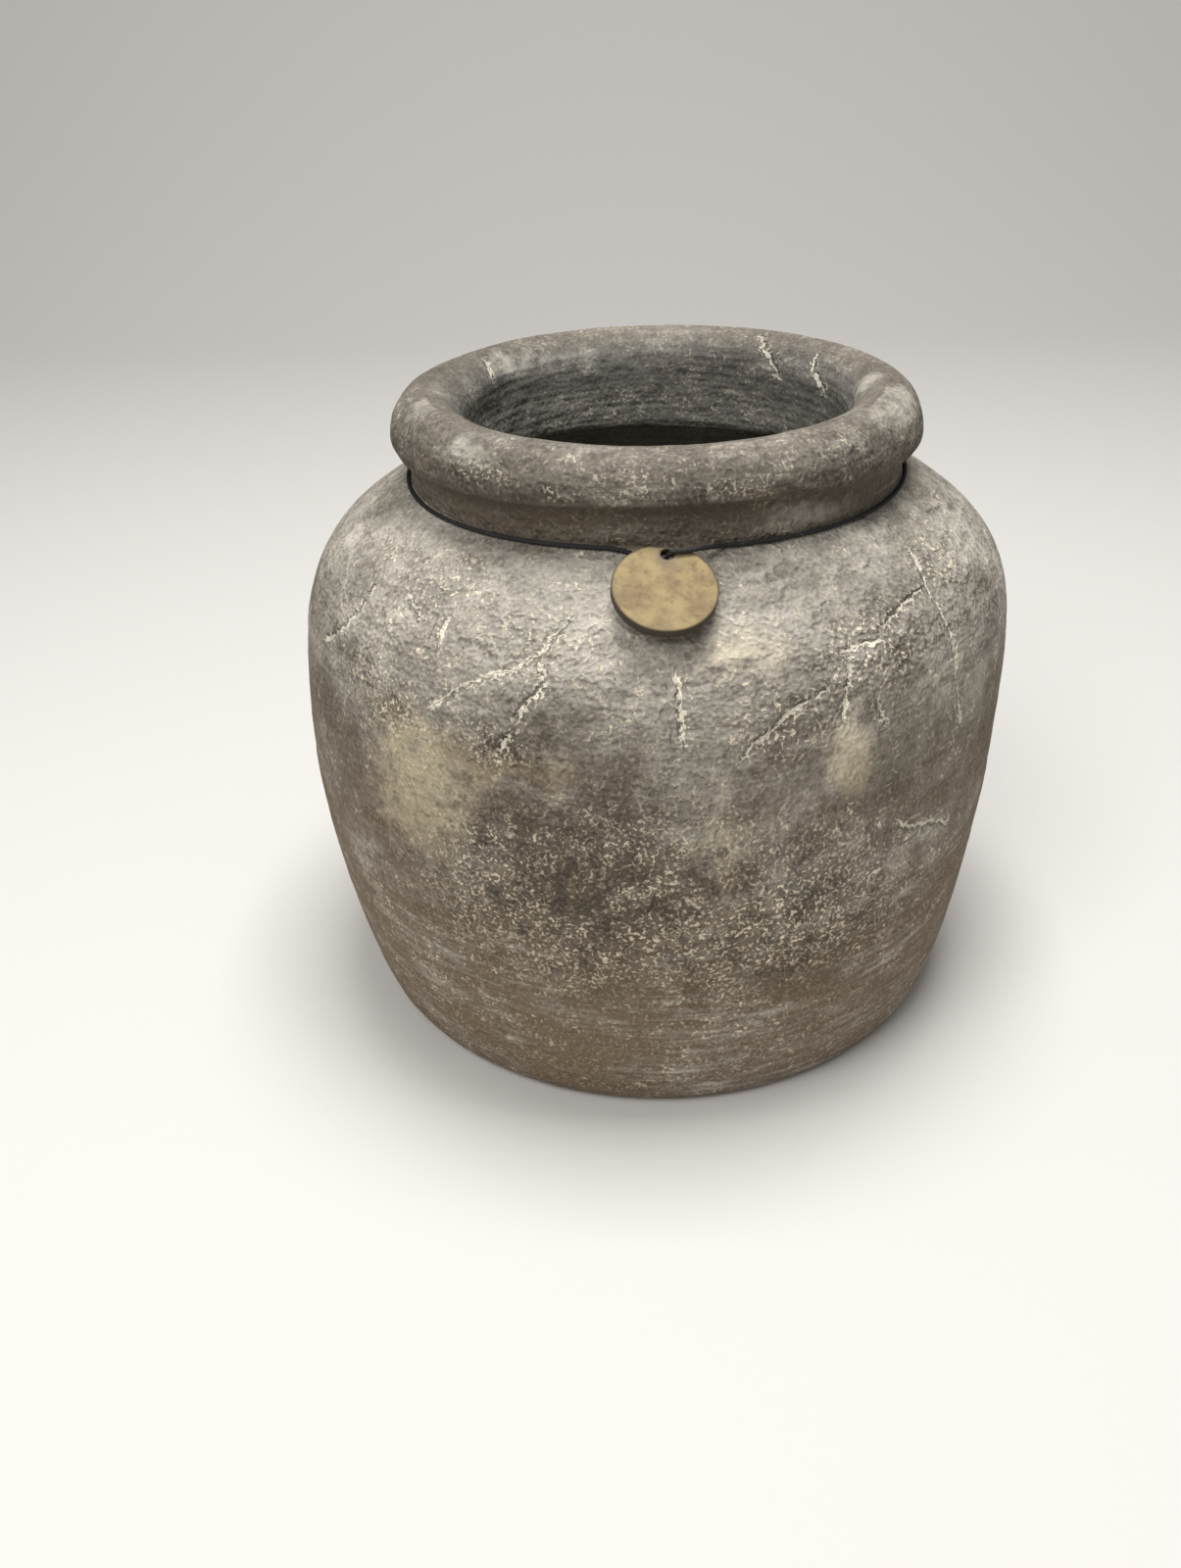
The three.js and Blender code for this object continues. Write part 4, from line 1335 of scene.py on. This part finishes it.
def twisting_tree(sizes, material):
    tree, size = geometry_tree("twist the cord", sizes)
    line = tree.node("GeometryNodeMeshToCurve", [size["Geometry"]])
    even = tree.node("GeometryNodeResampleCurve", {
        "Curve": line, "Length": size["Ring spacing"] * MM}, mode="LENGTH")
    along = tree.node("GeometryNodeSplineParameter")["Length"]
    tilted = tree.node("GeometryNodeSetCurveTilt", {
        "Curve": even, "Tilt": along / (size["Lay"] * MM) * math.tau})
    circle = tree.node("GeometryNodeCurvePrimitiveCircle", {
        "Resolution": size["Section sides"], "Radius": size["Diameter"] / 2 * MM})
    place = tree.node("GeometryNodeInputPosition")
    flat = tree.node("ShaderNodeSeparateXYZ", [place])
    lobes = tree.cos(tree.angle(flat["Y"], flat["X"]) * size["Strands"])
    drawn_in = 1 - size["Lobe depth"] * (1 - lobes)
    section = tree.node("GeometryNodeSetPosition", {
        "Geometry": circle, "Position": tree.scaled(place, drawn_in)})
    cord = tree.node("GeometryNodeCurveToMesh", {
        "Curve": tilted, "Profile Curve": section, "Fill Caps": True})
    finish_tree(tree, cord, material)
    return tree


def cord_material():
    tree = new_material("black cord")
    point = tree.scaled(tree.node("ShaderNodeTexCoord")["Object"], 1 / MM)
    fibres = tree.noise(point, 0.5, 3.0, 0.7) - 0.5
    dust = tree.smooth(0.08, 0.3, tree.noise(point, 4.0, 3.0) - 0.5 + fibres * 0.5)
    colour = tree.mix(dust * 0.5, CORD_BLACK, CORD_DUST)
    return finish_material(tree, colour, 0.72 + fibres * 0.2, fibres * 0.12)


def line_mesh(points):
    mesh = bpy.data.meshes.new("cord line")
    mesh.from_pydata([tuple(p * MM) for p in points], [(i, i + 1) for i in range(len(points) - 1)], [])
    return mesh


cord_mesh = run_tree(twisting_tree(TWIST, cord_material()), TWIST, line_mesh(cord_line), "twisted")
tied_cord = add_piece("tied_cord", cord_mesh, "neck_cord")

# %% [markdown]
# The tag hangs further out than the crease. The place of its hole is worked out, and the cord's
# transform is baked into its mesh.

# %% The hole's place, and the cord's transform baked into its mesh
hole_place = from_tag(0, 0, 0) + (HAND["Neck offset"], 0, 0)
hole_place[0] * MM
hole_place[2] * MM
hole_place[0] * MM
hole_place[2] * MM
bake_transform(tied_cord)

# %% [markdown]
# ## The tag
# The tag is a disc of thin tan board with a scorched brown edge. It has a flat at the top, beside
# the hole. Its outline and its hole are rings of points, stepped in towards the faces so that the
# edges are round, and the two faces are filled with many small triangles, so that the board can
# be a little wavy. Their inner points keep a margin from the rim, the flat and the hole. The mesh
# keeps its flat drawing as a UV map, because the scorching follows the outline.

# %% Build the tag
TAG_SIDES = 132
HOLE_SIDES = 36
TAG_EDGE_ROUND = 0.28
TAG_FACE_STEP = 1.1
RIM_MARGIN = 1.2
FLAT_MARGIN = 2.2
HOLE_MARGIN = 0.9
FLAT_SIDES = 14
TAG_WAVE = 0.06
UV_SPAN = 64.0

tag_radius = TAG_DIAMETER / 2
tag_centre_y = -(tag_radius - TAG_FLAT - HOLE_EDGE - HOLE_DIAMETER / 2)


def tag_outline(inset):
    """The disc with its flat, drawn in by an inset."""
    radius = tag_radius - inset
    flat_angle = math.asin((tag_radius - TAG_FLAT - inset) / radius)
    angles = np.linspace(math.pi - flat_angle, 2 * math.pi + flat_angle, TAG_SIDES)
    round_part = np.stack([radius * np.cos(angles), tag_centre_y + radius * np.sin(angles)], 1)
    flat_part = np.linspace(round_part[-1], round_part[0], FLAT_SIDES)[1:-1]
    return np.concatenate([round_part, flat_part])


def hole_outline(inset):
    angles = np.linspace(0, -2 * math.pi, HOLE_SIDES, endpoint=False)
    radius = HOLE_DIAMETER / 2 + inset
    return radius * np.stack([np.cos(angles), np.sin(angles)], 1)


def face_filling():
    """Triangles that fill the face between the two innermost rings, with points spread inside."""
    border = [tag_outline(TAG_EDGE_ROUND), hole_outline(TAG_EDGE_ROUND)]
    edges, points, start = [], [], 0
    for ring in border:
        points += [tuple(p) for p in ring]
        edges += [(start + i, start + (i + 1) % len(ring)) for i in range(len(ring))]
        start += len(ring)
    steps = np.arange(-tag_radius, tag_radius, TAG_FACE_STEP)
    for row, y in enumerate(steps + tag_centre_y):
        for x in steps + (row % 2) * TAG_FACE_STEP / 2:
            in_disc = math.hypot(x, y - tag_centre_y) < tag_radius - RIM_MARGIN
            below_flat = y < tag_centre_y + tag_radius - FLAT_MARGIN
            off_hole = math.hypot(x, y) > HOLE_DIAMETER / 2 + HOLE_MARGIN
            if in_disc and below_flat and off_hole:
                points.append((x, y))
    vertices, _, faces, *_ = delaunay_2d_cdt([Vector(p) for p in points], edges, [], 0, 1e-6)
    kept = []
    for face in faces:
        middle = sum((vertices[i] for i in face), Vector((0, 0))) / 3
        if middle.length > HOLE_DIAMETER / 2 + TAG_EDGE_ROUND * 0.98:
            kept.append(face)
    return [tuple(v) for v in vertices], kept, [len(ring) for ring in border]


def tag_mesh():
    flat_points, faces, ring_counts = face_filling()
    half = TAG_THICKNESS / 2
    bm = bmesh.new()
    uv_layer = bm.loops.layers.uv.new("board")

    def wave(x, y):
        return TAG_WAVE * math.sin(0.33 * x + 0.5) * math.cos(0.27 * y)

    def add(x, y, z):
        return bm.verts.new((x, y, z + wave(x, y)))

    top = [add(x, y, half) for x, y in flat_points]
    bottom = [add(x, y, -half) for x, y in flat_points]
    for a, b, c in faces:
        bm.faces.new((top[a], top[b], top[c]))
        bm.faces.new((bottom[c], bottom[b], bottom[a]))
    start = 0
    for outline, count in zip((tag_outline, hole_outline), ring_counts):
        rings = [top[start:start + count]]
        for side, angle in ((1, 60), (1, 30), (1, 0), (-1, 0), (-1, 30), (-1, 60)):
            inset = TAG_EDGE_ROUND * (1 - math.cos(math.radians(angle)))
            drop = TAG_EDGE_ROUND * (1 - math.sin(math.radians(angle)))
            rings.append([add(x, y, side * (half - drop)) for x, y in outline(inset)])
        rings.append(bottom[start:start + count])
        for upper, lower in zip(rings[:-1], rings[1:]):
            for i in range(count):
                j = (i + 1) % count
                bm.faces.new((upper[i], lower[i], lower[j], upper[j]))
        start += count
    bmesh.ops.recalc_face_normals(bm, faces=bm.faces)
    for face in bm.faces:
        face.smooth = True
        for loop in face.loops:
            x, y, _ = loop.vert.co
            loop[uv_layer].uv = (0.5 + x / UV_SPAN, 0.5 + y / UV_SPAN)
    swing = Matrix.Rotation(math.radians(-TAG_SWING), 4, "Z")
    shift = Matrix.Translation((HAND["Neck offset"], 0, 0))
    bm.transform(Matrix.Scale(MM, 4) @ shift @ tag_frame @ swing)
    mesh = bpy.data.meshes.new("hanging_tag")
    bm.to_mesh(mesh)
    bm.free()
    return mesh


# %% [markdown]
# The board's face is tan, mottled, with short fibres and a few darker flecks. Heat has browned the
# wall and a narrow ring of each face along the outline and round the hole, and a faint grey smoke
# lies below the hole. The face is otherwise bare.

# %% The tag's material
BOARD = (0.205, 0.143, 0.063)
BOARD_PALE = (0.300, 0.225, 0.096)
BOARD_PINK = (0.160, 0.100, 0.048)
SCORCH = (0.040, 0.026, 0.014)
SMOKE = (0.190, 0.150, 0.105)


def board_material():
    tree = new_material("tan board")
    uv = tree.node("ShaderNodeUVMap", uv_map="board")
    place = tree.scaled(tree.vector("SUBTRACT", uv, (0.5, 0.5, 0.0)), UV_SPAN)
    flat = tree.node("ShaderNodeSeparateXYZ", [place])
    point = tree.scaled(tree.node("ShaderNodeTexCoord")["Object"], 1 / MM)
    cloud = tree.noise(point, 6.0, 4.0, 0.6) - 0.5
    blotch = tree.noise(point, 2.2, 3.0, 0.6) - 0.5
    along_fibres = tree.vector("MULTIPLY", place, (5.0, 1.1, 1.0))
    fibres = tree.noise(along_fibres, 1.3, 3.0, 0.65) - 0.5
    colour = tree.mix(tree.smooth(-0.12, 0.16, cloud), BOARD, BOARD_PALE)
    colour = tree.mix(tree.smooth(0.02, 0.2, blotch - cloud * 0.5) * 0.6, colour, BOARD_PINK)
    colour = tree.mix(tree.smooth(0.05, 0.3, fibres) * 0.45, colour, BOARD_PINK)
    flecks = tree.smooth(0.24, 0.3, tree.noise(point, 0.9, 1.0) - 0.5)
    colour = tree.mix(flecks * 0.5, colour, SCORCH)

    from_centre = tree.vector("DISTANCE", place, (0.0, tag_centre_y, 0.0), output="Value")
    from_rim = tree.least(tag_radius - from_centre, tag_centre_y + tag_radius - TAG_FLAT - flat["Y"])
    from_hole = tree.vector("LENGTH", place, output="Value") - HOLE_DIAMETER / 2
    ragged = blotch * 0.5 + fibres * 0.25
    smoke = tree.smooth(5.2, 0.0, from_hole + cloud * 7.0) * 0.55
    colour = tree.mix(smoke, colour, SMOKE)
    browned = tree.smooth(0.85, 0.1, tree.least(from_rim, from_hole) + ragged)
    colour = tree.mix(browned * 0.8, colour, SCORCH)
    wall = tree.smooth(0.1, 0.02, tree.least(from_rim, from_hole))
    colour = tree.mix(wall, colour, SCORCH)
    height = blotch * 0.10 + fibres * 0.10 + cloud * 0.1
    return finish_material(tree, colour, 0.62 + blotch * 0.25, height, Specular_IOR_Level=0.4)


# %% Hang the tag
board_mesh = tag_mesh()
board_mesh.materials.append(board_material())
hanging_tag = add_piece("hanging_tag", board_mesh, "tag")
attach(hanging_tag, "tag")
print("tag", len(hanging_tag.data.polygons), "faces")

# %% [markdown]
# ## Floor, backdrop and light
# The floor is plain and pale and runs up into a backdrop in one curve, so that no horizon shows.
# A wide lamp overhead is the main light. It leaves the front of the neck in shade, as in the
# photograph. A second wide lamp at the front and a pale world fill the shadows.

# %% Stage
STAGE_COLOUR = (0.66, 0.64, 0.61)
STAGE_HALF_WIDTH = 3.0
STAGE_FRONT = -2.0
STAGE_BACK = 1.0
STAGE_CURVE = 0.8
STAGE_TOP = 2.6
STAGE_DROP = 0.1


def add_stage():
    line = [(STAGE_FRONT, 0.0), (STAGE_BACK, 0.0)]
    for angle in range(-85, 1, 5):
        turn = math.radians(angle)
        line.append((STAGE_BACK + STAGE_CURVE * math.cos(turn), STAGE_CURVE * (1 + math.sin(turn))))
    line.append((STAGE_BACK + STAGE_CURVE, STAGE_TOP))
    points = [(side * STAGE_HALF_WIDTH, y, z - STAGE_DROP * MM) for y, z in line for side in (-1, 1)]
    faces = [(2 * i, 2 * i + 1, 2 * i + 3, 2 * i + 2) for i in range(len(line) - 1)]
    mesh = bpy.data.meshes.new("stage")
    mesh.from_pydata(points, [], faces)
    for polygon in mesh.polygons:
        polygon.use_smooth = True
    stage = bpy.data.objects.new("stage", mesh)
    tree = new_material("stage paper")
    surface = tree.node("ShaderNodeBsdfPrincipled", {
        "Base Color": (*STAGE_COLOUR, 1.0), "Roughness": 0.9, "Specular IOR Level": 0.1})
    tree.node("ShaderNodeOutputMaterial", {"Surface": surface})
    mesh.materials.append(tree.material)
    scene.collection.objects.link(stage)
    stage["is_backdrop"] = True


# %% Lamps and world
LAMPS = {
    "overhead lamp": ((0.05, 0.0, 1.35), (0.0, 0.0, 0.1), 0.55, 16.0),
    "front lamp": ((-0.6, -1.1, 1.5), (0.0, 0.0, 0.1), 0.9, 17.0),
}
WORLD_STRENGTH = 0.35


def add_lamps():
    for name, (place, target, width, power) in LAMPS.items():
        data = bpy.data.lights.new(name, "AREA")
        data.size = width
        data.energy = power
        lamp = bpy.data.objects.new(name, data)
        lamp.location = place
        lamp.rotation_euler = (Vector(target) - Vector(place)).to_track_quat("-Z", "Y").to_euler()
        scene.collection.objects.link(lamp)


def set_world():
    world = bpy.data.worlds.new("pale room")
    world.use_nodes = True
    background = world.node_tree.nodes["Background"]
    background.inputs["Color"].default_value = (1.0, 1.0, 1.0, 1.0)
    background.inputs["Strength"].default_value = WORLD_STRENGTH
    scene.world = world


add_stage()
add_lamps()
set_world()
scene.view_settings.view_transform = "Standard"

# %% [markdown]
# ## Sizes
# The box round the finished pieces is written down, in millimetres. The finished pieces have to
# stay inside the box of the imported model.

# %% Write the box of the finished pieces
visual_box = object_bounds()
for name, low, high in zip("xyz", *visual_box):
    print(name, round(low / MM, 2), round(high / MM, 2))
